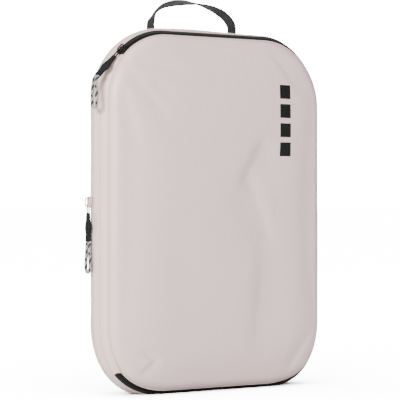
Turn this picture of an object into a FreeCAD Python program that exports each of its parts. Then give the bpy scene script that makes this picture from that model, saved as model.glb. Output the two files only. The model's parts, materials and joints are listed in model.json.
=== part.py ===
"""Packing cube: a soft bag with a main zip on three sides, a compression zip all round and a carry handle.

+X is to the right seen from the front, -Y is the front and +Z is up. The cube stands on its lower edge.
The origin is the middle of the flat base strip. Lengths are millimetres and angles are degrees.
"""

import FreeCAD
import Part
import math
import os

Vector = FreeCAD.Vector

# Outline of the front seam, a rounded rectangle
SEAM_WIDTH = 255.0
SEAM_HEIGHT = 350.0
CORNER_RADIUS = 68.0
SEAM_FLOOR_GAP = 1.0

# Depth of each band of the side wall, from the front seam backwards
MAIN_ZIP_DEPTH = 7.6
FRONT_GUSSET_DEPTH = 10.4
COMPRESSION_ZIP_DEPTH = 8.0
REAR_GUSSET_DEPTH = 26.0

# How far the side wall stands out beyond the front seam's outline
MAIN_ZIP_RISE = 2.5
CREST_RISE = 5.0
REAR_RISE = -13.0
FRONT_GUSSET_SWELL = 0.6
REAR_GUSSET_SWELL = 0.9

# Panels: the height of the dome and the radius of its rolled edge
FRONT_DOME_HEIGHT = 14.0
FRONT_ROLL_RADIUS = 10.0
REAR_DOME_HEIGHT = 5.0
REAR_ROLL_RADIUS = 4.0
ROLL_ANGLE = 60.0

# Thicknesses
FABRIC = 1.2
TAPE = 1.0
COIL = 1.6
BINDING = 0.8
FOLDED_FABRIC = 2.4
PRINT = 0.3

# Clearances
SLIVER_GAP = 0.05
SEAT_GAP = 0.3
LID_GAP = 0.3
SLIDER_GAP = 0.4
PARTING_GAP = 1.6

# Zips
COIL_WIDTH = 2.2
ZIP_END_ANGLE = 45.0
UPPER_END_MARGIN = 2.5
LOWER_END_MARGIN = 0.5
TAB_ANGLE = 6.0
TAB_START = 6.5
TAB_EDGE = 0.4
FOLD_LENGTH = 20.0
BINDING_WIDTH = 4.7
LID_BINDING_WIDTH = 4.0
LID_BINDING_INSET = 2.5

# Sliders and pullers, the same on both zips
SLIDER_LENGTH = 11.0
SLIDER_WIDTH = 7.4
SLIDER_PLATE = 1.6
LOWER_PLATE_LENGTH = 9.0
LOWER_PLATE_WIDTH = 6.4
LOWER_PLATE = 1.2
POST_LENGTH = 3.0
POST_WIDTH = 0.9
BAIL_LENGTH = 9.0
BAIL_HEIGHT = 4.0
BAIL_WIRE = 1.3
BAIL_WIDTH = 1.6
PIN_DIAMETER = 1.4
ARM_WIDTH = 1.0
LINK_LENGTH = 9.0
LINK_BLOCK = 1.8
GRIP_LENGTH = 27.0
GRIP_THICKNESS = 3.6
COMPRESSION_SLIDER_HEIGHT = 187.0

# Half-width of the moulded grip at shares of its length
GRIP_OUTLINE = [(0.0, 1.9), (0.16, 2.0), (0.45, 4.05), (0.7, 3.0), (0.87, 3.65), (1.0, 3.45)]

# Cord of the pull loops
CORD_DIAMETER = 3.2
MAIN_CORD_ROUTE = [
    (-137.3, -28.8, 306.8),
    (-139.4, -28.9, 304.6),
    (-140.7, -29.4, 300.4),
    (-141.2, -30.6, 293.0),
    (-141.1, -31.5, 285.0),
    (-140.9, -31.3, 280.4),
    (-140.8, -28.8, 277.8),
    (-140.7, -25.2, 277.7),
    (-140.6, -22.7, 280.3),
    (-140.7, -22.4, 285.2),
    (-140.9, -23.1, 293.0),
    (-140.8, -24.5, 300.6),
    (-140.0, -25.0, 304.9),
    (-138.1, -25.2, 307.6),
]
COMPRESSION_CORD_ROUTE = [
    (-135.85, -9.7, 148.8),
    (-135.9, -9.8, 144.2),
    (-136.0, -10.7, 136.6),
    (-136.1, -11.6, 127.7),
    (-136.1, -11.4, 121.7),
    (-136.1, -9.3, 119.6),
    (-136.1, -6.3, 119.6),
    (-136.1, -4.2, 121.7),
    (-136.1, -4.0, 127.6),
    (-136.0, -4.8, 136.4),
    (-135.9, -5.8, 144.0),
    (-135.85, -5.9, 148.8),
]
ARC_SHARE = 0.45

# Carry handle
HANDLE_FOOT_INSET = 9.5
HANDLE_RISE = 41.8
HANDLE_LEG = 8.15
HANDLE_WIDTH = 13.0
WEBBING = 1.3
HANDLE_DEPTH = 43.0

# Printed mark on the front panel
MARK_WIDTH = 14.0
MARK_CENTRE_X = 75.5
MARK_TOP = 305.0
MARK_BLOCKS = 4
MARK_GAP = 5.3

# Places that follow from the sizes above
BASE_DEPTH = FRONT_GUSSET_DEPTH + COMPRESSION_ZIP_DEPTH + REAR_GUSSET_DEPTH
Y_SEAM = -MAIN_ZIP_DEPTH - BASE_DEPTH / 2
Y_MAIN_BACK = Y_SEAM + MAIN_ZIP_DEPTH
Y_CREST = Y_MAIN_BACK + FRONT_GUSSET_DEPTH
Y_CREST_BACK = Y_CREST + COMPRESSION_ZIP_DEPTH
Y_REAR = Y_CREST_BACK + REAR_GUSSET_DEPTH
Y_MAIN_PARTING = Y_SEAM + MAIN_ZIP_DEPTH / 2
Y_COMPRESSION_PARTING = Y_CREST + COMPRESSION_ZIP_DEPTH / 2
CENTRE_X = SEAM_WIDTH / 2 - CORNER_RADIUS
CENTRE_LOW = SEAM_FLOOR_GAP + CORNER_RADIUS
CENTRE_HIGH = SEAM_FLOOR_GAP + SEAM_HEIGHT - CORNER_RADIUS
HANDLE_SPAN = 2 * (CENTRE_X - HANDLE_FOOT_INSET)
FOLD_X = -CENTRE_X - CORNER_RADIUS * math.cos(math.radians(ZIP_END_ANGLE))
FAR = 2 * (SEAM_WIDTH + SEAM_HEIGHT)
UPPER_END = 180.0 - ZIP_END_ANGLE
LOWER_END = 180.0 + ZIP_END_ANGLE


def wall_rise(y):
    """How far the side wall stands out at depth y."""
    if y <= Y_MAIN_BACK:
        return MAIN_ZIP_RISE * (y - Y_SEAM) / MAIN_ZIP_DEPTH
    if y <= Y_CREST:
        share = (y - Y_MAIN_BACK) / FRONT_GUSSET_DEPTH
        swell = 4 * FRONT_GUSSET_SWELL * share * (1 - share)
        return MAIN_ZIP_RISE + (CREST_RISE - MAIN_ZIP_RISE) * share + swell
    if y <= Y_CREST_BACK:
        return CREST_RISE
    share = (y - Y_CREST_BACK) / REAR_GUSSET_DEPTH
    swell = 4 * REAR_GUSSET_SWELL * share * (1 - share)
    return CREST_RISE + (REAR_RISE - CREST_RISE) * share + swell


def straight_wall(start, end):
    """Straight stretch of the wall's profile between two depths."""
    return [((wall_rise(start), start), (wall_rise(end), end))]


def curved_wall(start, end):
    """Arched stretch of the wall's profile between two depths."""
    middle = (start + end) / 2
    return [((wall_rise(start), start), (wall_rise(middle), middle), (wall_rise(end), end))]


def dome_profile(edge_rise, edge_y, height, roll, side, inset):
    """Two tangent arcs from a seam to the flat top of a domed panel, drawn in by inset."""
    angle = math.radians(ROLL_ANGLE)
    crown = (height - roll * math.sin(angle)) / (1 - math.sin(angle))
    roll_centre = (edge_rise - roll, edge_y)
    crown_centre = (
        roll_centre[0] - (crown - roll) * math.cos(angle),
        edge_y - side * (crown - roll) * math.sin(angle),
    )

    def point(centre, radius, turn):
        return (centre[0] + radius * math.cos(turn), centre[1] + side * radius * math.sin(turn))

    steep = [point(roll_centre, roll - inset, share * angle) for share in (0.0, 0.5, 1.0)]
    rest = math.pi / 2 - angle
    shallow = [point(crown_centre, crown - inset, angle + share * rest) for share in (0.0, 0.5, 1.0)]
    return [tuple(steep), tuple(shallow)]


def profile_edge(points, inset):
    """Edge of a wall profile: a line through two points or an arc through three."""
    corners = [Vector(CORNER_RADIUS + rise - inset, y, 0) for rise, y in points]
    if len(corners) == 2:
        return Part.LineSegment(*corners).toShape()
    return Part.Arc(*corners).toShape()


def corner_centres():
    """Centres of the four rounded corners, from the upper right one and anticlockwise."""
    return [
        Vector(CENTRE_X, 0, CENTRE_HIGH),
        Vector(-CENTRE_X, 0, CENTRE_HIGH),
        Vector(-CENTRE_X, 0, CENTRE_LOW),
        Vector(CENTRE_X, 0, CENTRE_LOW),
    ]


def slab(profile, inset=0.0):
    """Solid rounded rectangle whose edge has the given profile, drawn in by inset."""
    edges = [profile_edge(points, inset) for points in profile]
    first = edges[0].valueAt(edges[0].FirstParameter)
    last = edges[-1].valueAt(edges[-1].LastParameter)
    near = Vector(0, first.y, 0)
    far = Vector(0, last.y, 0)
    for start, end in ((last, far), (far, near), (near, first)):
        edges.append(Part.LineSegment(start, end).toShape())
    face = Part.Face(Part.Wire(edges))
    quarter = face.revolve(Vector(0, 0, 0), Vector(0, 1, 0), -90)
    centres = corner_centres()
    low = min(first.y, last.y)
    block = Part.makeBox(
        2 * CENTRE_X, abs(last.y - first.y), CENTRE_HIGH - CENTRE_LOW, Vector(-CENTRE_X, low, CENTRE_LOW)
    )
    pieces = []
    for index, centre in enumerate(centres):
        corner = quarter.copy()
        corner.rotate(Vector(0, 0, 0), Vector(0, 1, 0), -90 * index)
        corner.translate(centre)
        side = face.copy()
        side.rotate(Vector(0, 0, 0), Vector(0, 1, 0), -90 * index)
        side.translate(centres[index - 1])
        pieces.append(corner)
        pieces.append(side.extrude(centre - centres[index - 1]))
    return block.multiFuse(pieces).removeSplitter()


def above(shape, floor):
    """The part of a shape above a height, as the cube's weight flattens its underside there."""
    return shape.common(Part.makeBox(FAR, FAR, FAR, Vector(-FAR / 2, -FAR / 2, floor)))


def band(profile, lift, wall):
    """Closed band of the side wall: lift is its depth under the outer surface, wall its thickness."""
    outer = above(slab(profile, lift), lift)
    inner = above(slab(profile, lift + wall), lift + wall)
    return outer.cut(inner)


def prism(points):
    """Prism through the whole depth over an outline of (x, z) points."""
    corners = [Vector(x, -FAR / 2, z) for x, z in points]
    face = Part.Face(Part.makePolygon(corners + corners[:1]))
    return face.extrude(Vector(0, FAR, 0))


def ray(centre_z, angle):
    """Point far out from a left corner's centre at an angle from +X towards +Z."""
    turn = math.radians(angle)
    return (-CENTRE_X + FAR * math.cos(turn), centre_z + FAR * math.sin(turn))


def left_region(upper_angle, lower_angle):
    """Everything left of the corner centres between two rays, one from each left corner."""
    return prism(
        [
            (-CENTRE_X, CENTRE_HIGH),
            ray(CENTRE_HIGH, upper_angle),
            ray(CENTRE_LOW, lower_angle),
            (-CENTRE_X, CENTRE_LOW),
        ]
    )


def corner_sector(centre_z, start_angle, end_angle):
    """Wedge at a left corner between two angles."""
    return prism([(-CENTRE_X, centre_z), ray(centre_z, start_angle), ray(centre_z, end_angle)])


def half_space(limit, side):
    """Everything left (side -1) or right (side +1) of the plane x = limit."""
    start = limit - FAR if side < 0 else limit
    return Part.makeBox(FAR, FAR, FAR, Vector(start, -FAR / 2, -FAR / 2))


def domed_panel(edge_rise, edge_y, height, roll, side):
    """Shell of a domed fabric panel on its seam."""
    outer = above(slab(dome_profile(edge_rise, edge_y, height, roll, side, 0.0)), 0.0)
    inner = above(slab(dome_profile(edge_rise, edge_y, height, roll, side, FABRIC)), FABRIC)
    return outer.cut(inner)


def front_dome():
    """The whole front panel, before the fold divides it into lid and margin."""
    return domed_panel(0.0, Y_SEAM, FRONT_DOME_HEIGHT, FRONT_ROLL_RADIUS, -1)


def front_panels(nodes):
    """Lid panel to the right of the fold and the margin to its left."""
    dome = front_dome()
    nodes["front_panel"] = dome.common(half_space(FOLD_X + LID_GAP / 2, 1))
    nodes["hinge_panel"] = dome.common(half_space(FOLD_X - LID_GAP / 2, -1))


def rear_tub(nodes):
    """Back panel, rear gusset, its seam binding and the folded expansion gusset."""
    nodes["rear_panel"] = domed_panel(REAR_RISE, Y_REAR, REAR_DOME_HEIGHT, REAR_ROLL_RADIUS, 1)
    nodes["rear_gusset"] = band(curved_wall(Y_CREST_BACK, Y_REAR), 0.0, FABRIC)
    inside = FABRIC + SEAT_GAP
    nodes["rear_binding"] = band(curved_wall(Y_REAR - BINDING_WIDTH, Y_REAR), inside, BINDING)
    folded = curved_wall(Y_CREST_BACK, Y_CREST_BACK + FOLD_LENGTH)
    nodes["expansion_gusset"] = band(folded, inside, FOLDED_FABRIC)


def compression_zip(nodes):
    """Both halves of the compression zip, all the way round."""
    half = (COMPRESSION_ZIP_DEPTH - PARTING_GAP) / 2
    inside = TAPE + SLIVER_GAP
    nodes["compression_tape_front"] = band(straight_wall(Y_CREST, Y_CREST + half), 0.0, TAPE)
    nodes["compression_tape_rear"] = band(straight_wall(Y_CREST_BACK - half, Y_CREST_BACK), 0.0, TAPE)
    front = straight_wall(Y_CREST + half - COIL_WIDTH, Y_CREST + half)
    rear = straight_wall(Y_CREST_BACK - half, Y_CREST_BACK - half + COIL_WIDTH)
    nodes["compression_coil_front"] = band(front, inside, COIL)
    nodes["compression_coil_rear"] = band(rear, inside, COIL)


def slider_half_angle():
    """Angle at the corner's centre that covers half of the main slider and its running gap."""
    track_radius = CORNER_RADIUS + wall_rise(Y_MAIN_PARTING)
    return math.degrees((SLIDER_LENGTH / 2 + 2 * SLIDER_GAP) / track_radius)


def main_zip(nodes):
    """Both halves of the main zip on three sides, and what closes its fourth side and its ends."""
    half = (MAIN_ZIP_DEPTH - PARTING_GAP) / 2
    inside = TAPE + SLIVER_GAP
    fixed_cut = left_region(UPPER_END + UPPER_END_MARGIN, LOWER_END)
    lid_cut = left_region(UPPER_END - slider_half_angle(), LOWER_END + LOWER_END_MARGIN)
    lid_edge = Y_SEAM + half
    fixed_edge = Y_MAIN_BACK - half
    nodes["main_tape_lid"] = band(straight_wall(Y_SEAM, lid_edge), 0.0, TAPE).cut(lid_cut)
    nodes["main_tape_gusset"] = band(straight_wall(fixed_edge, Y_MAIN_BACK), 0.0, TAPE).cut(fixed_cut)
    lean = (inside + COIL / 2) * MAIN_ZIP_RISE / MAIN_ZIP_DEPTH
    lid_coil_profile = straight_wall(lid_edge + lean - COIL_WIDTH, lid_edge + lean)
    nodes["main_coil_lid"] = band(lid_coil_profile, inside, COIL).cut(lid_cut)
    fixed_coil_profile = straight_wall(fixed_edge + lean, fixed_edge + lean + COIL_WIDTH)
    nodes["main_coil_gusset"] = band(fixed_coil_profile, inside, COIL).cut(fixed_cut)
    strip = band(straight_wall(Y_SEAM, Y_MAIN_BACK), 0.0, FABRIC)
    nodes["hinge_strip"] = strip.common(fixed_cut)
    cover_profile = straight_wall(Y_SEAM + TAB_EDGE, Y_MAIN_BACK - TAB_EDGE)
    cover = band(cover_profile, -SEAT_GAP - BINDING, BINDING)
    upper = corner_sector(CENTRE_HIGH, UPPER_END + TAB_START, UPPER_END + TAB_START + TAB_ANGLE)
    lower = corner_sector(CENTRE_LOW, LOWER_END - TAB_ANGLE / 2, LOWER_END + TAB_ANGLE / 2)
    nodes["zip_end_tab_upper"] = cover.common(upper)
    nodes["zip_end_tab_lower"] = cover.common(lower)
    lid_profile = [((0.0, Y_SEAM - LID_BINDING_WIDTH), (0.0, Y_SEAM))]
    nodes["lid_binding"] = band(lid_profile, LID_BINDING_INSET, BINDING).cut(lid_cut)


def front_gusset(nodes):
    """Side wall between the two zips."""
    nodes["front_gusset"] = band(curved_wall(Y_MAIN_BACK, Y_CREST), 0.0, FABRIC)


def printed_mark(nodes):
    """Plain squares printed one above the other on the flat of the front panel."""
    front = Y_SEAM - FRONT_DOME_HEIGHT
    blocks = []
    for index in range(MARK_BLOCKS):
        low = MARK_TOP - MARK_WIDTH - index * (MARK_WIDTH + MARK_GAP)
        corner = Vector(MARK_CENTRE_X - MARK_WIDTH / 2, front - PRINT, low)
        blocks.append(Part.makeBox(MARK_WIDTH, PRINT, MARK_WIDTH, corner))
    nodes["printed_mark"] = Part.makeCompound(blocks)


def box_about(length, width, low, high, centre=0.0):
    """Box centred on the track, from low to high above the tape."""
    return Part.makeBox(length, width, high - low, Vector(centre - length / 2, -width / 2, low))


def slider_body():
    """Slider with an outer plate, an inner plate and the post that parts the two tapes."""
    top = SLIDER_GAP + SLIDER_PLATE
    under = -TAPE - SLIVER_GAP - COIL - SLIDER_GAP
    outer = box_about(SLIDER_LENGTH, SLIDER_WIDTH, SLIDER_GAP, top)
    outer = outer.makeFillet(SLIDER_PLATE / 2, [edge for edge in outer.Edges if is_upright(edge)])
    inner = box_about(LOWER_PLATE_LENGTH, LOWER_PLATE_WIDTH, under - LOWER_PLATE, under)
    post = box_about(POST_LENGTH, POST_WIDTH, under, SLIDER_GAP)
    return outer.multiFuse([inner, post]).removeSplitter()


def is_upright(edge):
    """Whether an edge stands along the third axis."""
    ends = [vertex.Point for vertex in edge.Vertexes]
    return abs(ends[0].z - ends[1].z) > SLIVER_GAP


def slider_bail():
    """Arched wire on the slider's outer plate."""
    base = SLIDER_GAP + SLIDER_PLATE
    outer = box_about(BAIL_LENGTH, BAIL_WIDTH, base, base + BAIL_HEIGHT)
    window = box_about(BAIL_LENGTH - 2 * BAIL_WIRE, BAIL_WIDTH * 2, base, base + BAIL_HEIGHT - BAIL_WIRE)
    return outer.cut(window)


def pin_place():
    """Place of the puller's pin along the track and above the tape."""
    along = BAIL_LENGTH / 2 - BAIL_WIRE - PIN_DIAMETER / 2 - SEAT_GAP
    height = SLIDER_GAP + SLIDER_PLATE + (BAIL_HEIGHT - BAIL_WIRE) / 2
    return along, height


def pull_link():
    """Link whose pin turns in the bail and whose two arms pass it on either side."""
    along, height = pin_place()
    arm_inner = BAIL_WIDTH / 2 + SEAT_GAP
    arm_outer = arm_inner + ARM_WIDTH
    half = PIN_DIAMETER / 2
    link = Part.makeCylinder(half, 2 * arm_outer, Vector(along, -arm_outer, height), Vector(0, 1, 0))
    reach = LINK_LENGTH - LINK_BLOCK
    for start in (-arm_outer, arm_inner):
        link = link.fuse(Part.makeBox(reach, ARM_WIDTH, PIN_DIAMETER, Vector(along, start, height - half)))
    corner = Vector(along + reach, -arm_outer, height - half)
    return link.fuse(Part.makeBox(LINK_BLOCK, 2 * arm_outer, PIN_DIAMETER, corner)).removeSplitter()


def pull_grip():
    """Moulded grip, waisted twice, that continues the link."""
    along, height = pin_place()
    start = along + LINK_LENGTH
    low = height - GRIP_THICKNESS / 2
    right = [Vector(start + share * GRIP_LENGTH, half, low) for share, half in GRIP_OUTLINE]
    left = [Vector(point.x, -point.y, low) for point in reversed(right)]
    sides = []
    for points in (right, left):
        curve = Part.BSplineCurve()
        curve.interpolate(points)
        sides.append(curve.toShape())
    caps = [
        Part.LineSegment(right[-1], left[0]).toShape(),
        Part.LineSegment(left[-1], right[0]).toShape(),
    ]
    outline = Part.Wire([sides[0], caps[0], sides[1], caps[1]])
    return Part.Face(outline).extrude(Vector(0, 0, GRIP_THICKNESS))


def cord(name, route):
    """Round cord of straight runs and tangent arcs along its route."""
    points = [Vector(*place) for place in route]
    edges = []
    radii = []
    last = points[0]
    for before, corner, after in zip(points, points[1:], points[2:]):
        arrive = (corner - before).normalize()
        leave = (after - corner).normalize()
        turn = arrive.getAngle(leave)
        trim = ARC_SHARE * min((corner - before).Length, (after - corner).Length)
        start = corner - arrive * trim
        end = corner + leave * trim
        radius = trim / math.tan(turn / 2)
        radii.append(round(radius, 1))
        inward = (leave - arrive).normalize()
        middle = corner + inward * (radius / math.cos(turn / 2) - radius)
        edges.append(Part.LineSegment(last, start).toShape())
        edges.append(Part.Arc(start, middle, end).toShape())
        last = end
    edges.append(Part.LineSegment(last, points[-1]).toShape())
    path = Part.Wire(edges)
    section = Part.Wire(
        Part.Circle(points[0], points[1] - points[0], CORD_DIAMETER / 2).toShape()
    )
    tube = path.makePipeShell([section], True, False)
    expected = math.pi * (CORD_DIAMETER / 2) ** 2 * path.Length
    print(name, "radii", radii, "length", round(path.Length, 1), "volume ratio", round(tube.Volume / expected, 4))
    return tube


def placed(shape, origin, along, outward):
    """A slider's piece turned so that its length lies along the track and its top faces outward."""
    across = outward.cross(along)
    matrix = FreeCAD.Matrix(
        along.x, across.x, outward.x, origin.x,
        along.y, across.y, outward.y, origin.y,
        along.z, across.z, outward.z, origin.z,
        0, 0, 0, 1,
    )  # fmt: skip
    moved = shape.copy()
    moved.Placement = FreeCAD.Placement(matrix).multiply(moved.Placement)
    return moved


def main_track():
    """Origin, direction and outward normal of the main slider at rest, on the upper left corner."""
    turn = math.radians(UPPER_END)
    radial = Vector(math.cos(turn), 0, math.sin(turn))
    radius = CORNER_RADIUS + wall_rise(Y_MAIN_PARTING)
    origin = Vector(-CENTRE_X, Y_MAIN_PARTING, CENTRE_HIGH) + radial * radius
    along = Vector(-math.sin(turn), 0, math.cos(turn))
    tilt = math.atan2(MAIN_ZIP_RISE, MAIN_ZIP_DEPTH)
    outward = radial * math.cos(tilt) - Vector(0, math.sin(tilt), 0)
    return origin, along, outward


def compression_track():
    """Origin, direction and outward normal of the compression slider at rest, on the left side."""
    x = -SEAM_WIDTH / 2 - CREST_RISE
    origin = Vector(x, Y_COMPRESSION_PARTING, COMPRESSION_SLIDER_HEIGHT)
    return origin, Vector(0, 0, -1), Vector(-1, 0, 0)


def slider_set(nodes, zip_name, track, route):
    """Slider, bail, link, grip and cord loop of one zip."""
    builders = {
        "slider_body": slider_body,
        "slider_bail": slider_bail,
        "pull_link": pull_link,
        "pull_grip": pull_grip,
    }
    for piece, build in builders.items():
        nodes[zip_name + "_" + piece] = placed(build(), *track)
    nodes[zip_name + "_pull_cord"] = cord(zip_name + "_pull_cord", route)
    along, height = pin_place()
    pin = track[0] + track[1] * along + track[2] * height
    print(zip_name, "puller pin", [round(value, 3) for value in pin])


def handle_arch(half_span, rise, foot):
    """Edges of a half ellipse on two upright legs, drawn in the XY plane."""
    ellipse = Part.Ellipse(Vector(half_span, 0, 0), Vector(0, rise, 0), Vector(0, 0, 0))
    arch = Part.ArcOfEllipse(ellipse, 0, math.pi).toShape()
    legs = [
        Part.LineSegment(Vector(half_span, foot, 0), Vector(half_span, 0, 0)).toShape(),
        Part.LineSegment(Vector(-half_span, 0, 0), Vector(-half_span, foot, 0)).toShape(),
    ]
    return [legs[0], arch, legs[1]]


def handle_strap(nodes):
    """Webbing arch on the top; its round ends leave it free to fold forwards and backwards."""
    y = Y_SEAM + HANDLE_DEPTH
    half_width = HANDLE_WIDTH / 2
    top = SEAM_FLOOR_GAP + SEAM_HEIGHT + wall_rise(y)
    slope = (wall_rise(y + half_width) - wall_rise(y - half_width)) / HANDLE_WIDTH
    lift = (half_width + SLIDER_GAP) * math.hypot(1, slope)
    pivot = top + lift
    rise = HANDLE_RISE - lift - HANDLE_LEG
    foot = -half_width - HANDLE_LEG
    outer = handle_arch((HANDLE_SPAN + WEBBING) / 2, rise, foot)
    inner = handle_arch((HANDLE_SPAN - WEBBING) / 2, rise - WEBBING, foot)
    ends = []
    for sign in (1, -1):
        start = Vector(sign * (HANDLE_SPAN + WEBBING) / 2, foot, 0)
        end = Vector(sign * (HANDLE_SPAN - WEBBING) / 2, foot, 0)
        ends.append(Part.LineSegment(start, end).toShape())
    outline = Part.Wire(Part.__sortEdges__(outer + inner + ends))
    strap = Part.Face(outline).extrude(Vector(0, 0, HANDLE_WIDTH))
    strap.rotate(Vector(0, 0, 0), Vector(1, 0, 0), 90)
    strap.translate(Vector(0, y + half_width, pivot + HANDLE_LEG))
    reach = HANDLE_SPAN * 2
    round_end = Part.makeCylinder(half_width, reach, Vector(-reach / 2, y, pivot), Vector(1, 0, 0))
    upper = Part.makeBox(reach, HANDLE_WIDTH, reach, Vector(-reach / 2, y - half_width, pivot))
    nodes["handle_strap"] = strap.common(round_end.fuse(upper))
    print("handle pivot", 0.0, round(y, 3), round(pivot, 3))


def lid_axis():
    """Place of the lid's fold line, just outside the panel's surface."""
    profile = dome_profile(0.0, Y_SEAM, FRONT_DOME_HEIGHT, FRONT_ROLL_RADIUS, -1, 0.0)
    crown = Part.Arc(*[Vector(rise, y, 0) for rise, y in profile[1]])
    depth = -SEAM_WIDTH / 2 - FOLD_X
    crossing = crown.intersectCC(Part.Line(Vector(depth, 0, 0), Vector(depth, 1, 0)))
    front = min(point.Y for point in crossing)
    print("lid axis", round(FOLD_X, 3), round(front - SLIDER_GAP, 3))


def build():
    """Every node of the cube, by name."""
    nodes = {}
    rear_tub(nodes)
    compression_zip(nodes)
    front_gusset(nodes)
    main_zip(nodes)
    front_panels(nodes)
    printed_mark(nodes)
    handle_strap(nodes)
    slider_set(nodes, "main", main_track(), MAIN_CORD_ROUTE)
    slider_set(nodes, "compression", compression_track(), COMPRESSION_CORD_ROUTE)
    lid_axis()
    return nodes


os.makedirs("parts", exist_ok=True)
for node, shape in build().items():
    print(node, len(shape.Solids), "solid", round(shape.Volume), "mm3", "valid" if shape.isValid() else "INVALID")
    shape.exportStep("parts/" + node + ".step")
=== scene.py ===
"""Looks of the packing cube: ripstop shell, zips, pullers, pull cords and webbing handle.

Lengths are metres in the frame's axes: +X is to the right seen from the front, -Y is the front and +Z is up.
A place on the side wall is given by its arc, the length along the front seam counted anticlockwise from the
middle of the right side, and by its depth, which is its Y.
"""

import json
import logging
import math
from dataclasses import dataclass, field, replace
from enum import Enum
from typing import Callable, Optional, Sequence, Union

import bmesh
import bpy
import numpy as np
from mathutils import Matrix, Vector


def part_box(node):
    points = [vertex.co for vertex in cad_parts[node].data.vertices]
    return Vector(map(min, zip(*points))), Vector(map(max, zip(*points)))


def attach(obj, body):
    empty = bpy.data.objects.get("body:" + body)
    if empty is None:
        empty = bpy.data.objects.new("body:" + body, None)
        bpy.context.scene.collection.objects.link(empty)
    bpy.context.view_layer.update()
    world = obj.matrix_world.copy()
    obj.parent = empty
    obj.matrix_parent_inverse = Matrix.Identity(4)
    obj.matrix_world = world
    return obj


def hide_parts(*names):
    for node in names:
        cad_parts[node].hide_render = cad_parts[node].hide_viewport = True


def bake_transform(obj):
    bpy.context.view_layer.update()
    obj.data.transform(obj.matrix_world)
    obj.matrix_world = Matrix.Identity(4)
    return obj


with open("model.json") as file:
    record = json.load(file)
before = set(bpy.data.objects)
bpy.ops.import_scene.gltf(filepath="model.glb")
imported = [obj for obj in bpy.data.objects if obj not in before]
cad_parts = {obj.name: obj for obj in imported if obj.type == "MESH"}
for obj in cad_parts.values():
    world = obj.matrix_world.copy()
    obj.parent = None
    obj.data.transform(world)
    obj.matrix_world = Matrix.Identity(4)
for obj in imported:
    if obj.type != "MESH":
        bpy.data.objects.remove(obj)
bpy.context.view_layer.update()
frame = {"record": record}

LOG = logging.getLogger("packing_cube")
Array = np.ndarray
Colour = tuple[float, float, float]
Value = Union[float, Array]
Relief = Callable[[Array, Array], Array]


def corners(node: str) -> tuple[Array, Array]:
    """Lowest and highest corner of a CAD node at rest."""
    low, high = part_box(node)
    return np.array(low, float), np.array(high, float)


def joint(name: str) -> dict:
    """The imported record's entry for a joint."""
    return next(entry for entry in frame["record"]["behaviour"]["joints"] if entry["name"] == name)


def unit(vector: Array) -> Array:
    """Vectors along the last axis, scaled to length 1."""
    return vector / np.linalg.norm(vector, axis=-1, keepdims=True)


def bump(value: Array, centre: float, width: float) -> Array:
    """Smooth hump of height 1: exp(-((value - centre) / width)^2)."""
    return np.exp(-(((value - centre) / width) ** 2))


def run_along(path: Array) -> Array:
    """Length along a path up to each of its points, (n,)."""
    return np.concatenate([[0.0], np.cumsum(np.linalg.norm(np.diff(path, axis=0), axis=1))])


def sampled(stops: Array, keys: Array, rows: Array) -> Array:
    """Rows of three numbers, given at rising keys, read off at stops in between, (m, 3)."""
    return np.stack([np.interp(stops, keys, rows[:, k]) for k in range(3)], axis=-1)


def softened(value: Array, power: float) -> Array:
    """A value from -1 to 1 with its size raised to a power, as in a superellipse."""
    return np.sign(value) * np.abs(value) ** power


def uv_grid(along: Array, across: Array) -> Array:
    """UV pairs (along, across) for every pair of entries, (n, m, 2)."""
    return np.stack(np.broadcast_arrays(along[:, None], across[None, :]), axis=-1)


def capped(section: Array) -> Array:
    """A grid of closed sections with its first and last one shrunk to their middle lines, (n + 2, m, 3).

    Each section goes out along one face and returns along the other, so mirrored places are averaged.
    """
    middle = (section + section[:, ::-1]) / 2
    return np.concatenate([middle[:1], section, middle[-1:]])


def with_ends(values: Array) -> Array:
    """A list of numbers with its first and last one repeated, for a capped grid."""
    return np.concatenate([values[:1], values, values[-1:]])


# ---------------------------------------------------------------- meshes


def mesh_object(name: str, points: Array, faces: Array, uv: Array) -> bpy.types.Object:
    """Put arrays into a new smooth-shaded mesh object at the origin.

    Args:
        name: the object's name.
        points: vertices, (n, 3).
        faces: vertex numbers of each quad, (m, 4), anticlockwise seen from outside.
        uv: a pair in metres for each corner of each quad, (m, 4, 2).

    Returns:
        The object, linked to the scene, with doubled vertices merged.
    """
    mesh = bpy.data.meshes.new(name)
    mesh.from_pydata(points.reshape(-1, 3), [], faces)
    layer = mesh.uv_layers.new(name="UVMap")
    layer.data.foreach_set("uv", uv.astype(np.float32).ravel())
    work = bmesh.new()
    work.from_mesh(mesh)
    bmesh.ops.remove_doubles(work, verts=work.verts, dist=1e-7)
    bmesh.ops.dissolve_degenerate(work, dist=1e-8, edges=work.edges)
    work.to_mesh(mesh)
    work.free()
    mesh.polygons.foreach_set("use_smooth", np.ones(len(mesh.polygons), bool))
    obj = bpy.data.objects.new(name, mesh)
    bpy.context.scene.collection.objects.link(obj)
    return obj


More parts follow.
